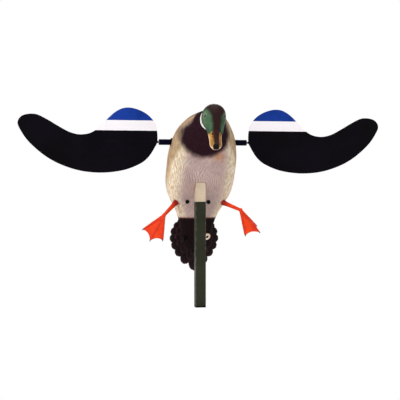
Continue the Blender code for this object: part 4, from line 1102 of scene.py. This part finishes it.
def make_tail():
    """A fan of overlapping feathers, with shorter coverts before and behind the long ones."""
    verts, faces, edges = [], [], []

    def add_feather(angle, root, length, width, depth, mirror, crown):
        front, rear = feather_blade(length, width, crown=crown)
        rows, columns, _ = front.shape
        base = len(verts)
        a = math.radians(angle)
        outward = np.array([math.sin(a), 0, -math.cos(a)])
        across = np.array([math.cos(a), 0, math.sin(a)])
        facing = np.array([0, -1.0 if mirror else 1.0, 0])
        origin = np.array(TAIL_CENTRE, float) + outward * root + np.array([0, depth, 0])
        for layer in (front, rear):
            for row in layer:
                for p in row:
                    verts.append(origin + across * p[0] + outward * p[1] + facing * p[2])
        for layer in (front, rear):
            for i in range(rows):
                for j in range(columns):
                    s = abs(j / (columns - 1) * 2 - 1)
                    # Weights for the painted highlight, rising towards each feather's sides and tip
                    edges.append(max(s**6, (i / (rows - 1)) ** 14) * 0.8)

        def spot(layer, i, j):
            return base + layer * rows * columns + i * columns + j

        for i in range(rows - 1):
            for j in range(columns - 1):
                faces.append((spot(0, i, j), spot(0, i, j + 1), spot(0, i + 1, j + 1), spot(0, i + 1, j)))
                faces.append((spot(1, i, j), spot(1, i + 1, j), spot(1, i + 1, j + 1), spot(1, i, j + 1)))
            for j in (0, columns - 1):
                faces.append((spot(0, i, j), spot(0, i + 1, j), spot(1, i + 1, j), spot(1, i, j)))
        for j in range(columns - 1):
            for i in (0, rows - 1):
                faces.append((spot(0, i, j), spot(1, i, j), spot(1, i, j + 1), spot(0, i, j + 1)))

    count = 15
    for index in range(count):
        angle = -128 + 256 * index / (count - 1)
        depth = 3.4 - 0.42 * abs(index - (count - 1) / 2)
        add_feather(angle, 6, tail_reach(angle) - 6, 19.5 + 0.05 * (130 - abs(angle)), depth, True, 1.6)
    for size, number, spread, depth, mirror in (
        (0.8, 12, 116, -1.6, True), (0.62, 9, 104, -3.0, True),
        (0.74, 12, 120, 5.0, False), (0.52, 7, 90, 6.2, False),
    ):
        for index in range(number):
            angle = -spread + 2 * spread * index / (number - 1)
            length = tail_reach(angle) * size - 4
            add_feather(angle, 4, length, 19, depth + 0.25 * math.cos(index * 2.1), mirror, 1.4)
    tail = new_piece("tail_feathers", placed(np.array(verts)), faces, MATERIALS["tail_paint"])
    set_masks(tail, edge=edges)
    tail.data.set_sharp_from_angle(angle=math.radians(55))
    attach(tail, "decoy")
    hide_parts("tail_fan")


# ---- stage

def make_stage():
    floor = bpy.data.meshes.new("floor")
    size = 12.0
    corners = [(-size, -size, 0), (size, -size, 0), (size, size, 0), (-size, size, 0)]
    floor.from_pydata(corners, [], [(0, 1, 2, 3)])
    look = bpy.data.materials.new("floor_white")
    look.use_nodes = True
    tree = look.node_tree
    shader = tree.nodes["Principled BSDF"]
    shader.inputs["Base Color"].default_value = (0.86, 0.86, 0.86, 1)
    shader.inputs["Roughness"].default_value = 0.9
    glow = tree.nodes.new("ShaderNodeEmission")
    ray = tree.nodes.new("ShaderNodeLightPath")
    mix = tree.nodes.new("ShaderNodeMixShader")
    tree.links.new(ray.outputs["Is Camera Ray"], mix.inputs["Fac"])
    tree.links.new(shader.outputs["BSDF"], mix.inputs[1])
    tree.links.new(glow.outputs["Emission"], mix.inputs[2])
    tree.links.new(mix.outputs["Shader"], tree.nodes["Material Output"].inputs["Surface"])
    mesh_object("floor", floor, look)

    world = bpy.data.worlds.new("studio")
    world.use_nodes = True
    tree = world.node_tree
    sky = tree.nodes["Background"]
    sky.inputs["Color"].default_value = (1, 1, 1, 1)
    ray = tree.nodes.new("ShaderNodeLightPath")
    strength = tree.nodes.new("ShaderNodeMapRange")
    strength.inputs["To Min"].default_value = 0.42
    strength.inputs["To Max"].default_value = 1.0
    tree.links.new(ray.outputs["Is Camera Ray"], strength.inputs["Value"])
    tree.links.new(strength.outputs["Result"], sky.inputs["Strength"])
    bpy.context.scene.world = world
    bpy.context.scene.view_settings.view_transform = "Standard"
    bpy.context.scene.view_settings.look = "None"

    for name, spot, size, power in (
        ("key", (-1.6, -2.2, 1.4), 1.1, 40), ("fill", (1.9, -1.9, 0.7), 1.6, 11),
        ("left_side", (-2.6, 0.5, 0.6), 0.7, 11),
        ("top", (0.1, -0.2, 2.3), 1.6, 12), ("rear", (0.6, 2.3, 1.4), 1.6, 26),
    ):
        light = bpy.data.lights.new(name, "AREA")
        light.shape = "DISK"
        light.size = size
        light.energy = power
        lamp = bpy.data.objects.new(name, light)
        lamp.location = spot
        lamp.rotation_euler = (AXLE - Vector(spot) - Vector((0, 0, 0.06))).to_track_quat("-Z", "Y").to_euler()
        bpy.context.scene.collection.objects.link(lamp)


def make_camera():
    """Level, a little to the bird's right, so that the bird looks past the camera."""
    distance, azimuth, eye_height, sideways = 2.2, math.radians(-9.5), 0.234, 0.00635
    away = Vector((math.sin(azimuth), -math.cos(azimuth), 0))
    right = Vector((math.cos(azimuth), math.sin(azimuth), 0))
    data = bpy.data.cameras.new("camera")
    data.lens = 90.5
    data.sensor_width = 36
    camera = bpy.data.objects.new("camera", data)
    camera.location = Vector((AXLE.x, 0, 0)) + away * distance - right * sideways + Vector((0, 0, eye_height))
    camera.rotation_euler = (math.pi / 2, 0, azimuth)
    bpy.context.scene.collection.objects.link(camera)
    bpy.context.scene.camera = camera


make_camera()
make_stage()
finish_cad_nodes()
make_body()
make_head()
for wing_side, wing_word in ((-1, "right"), (1, "left")):
    make_wing(wing_side, wing_word)
make_leg("right")
make_leg("left")
make_tail()
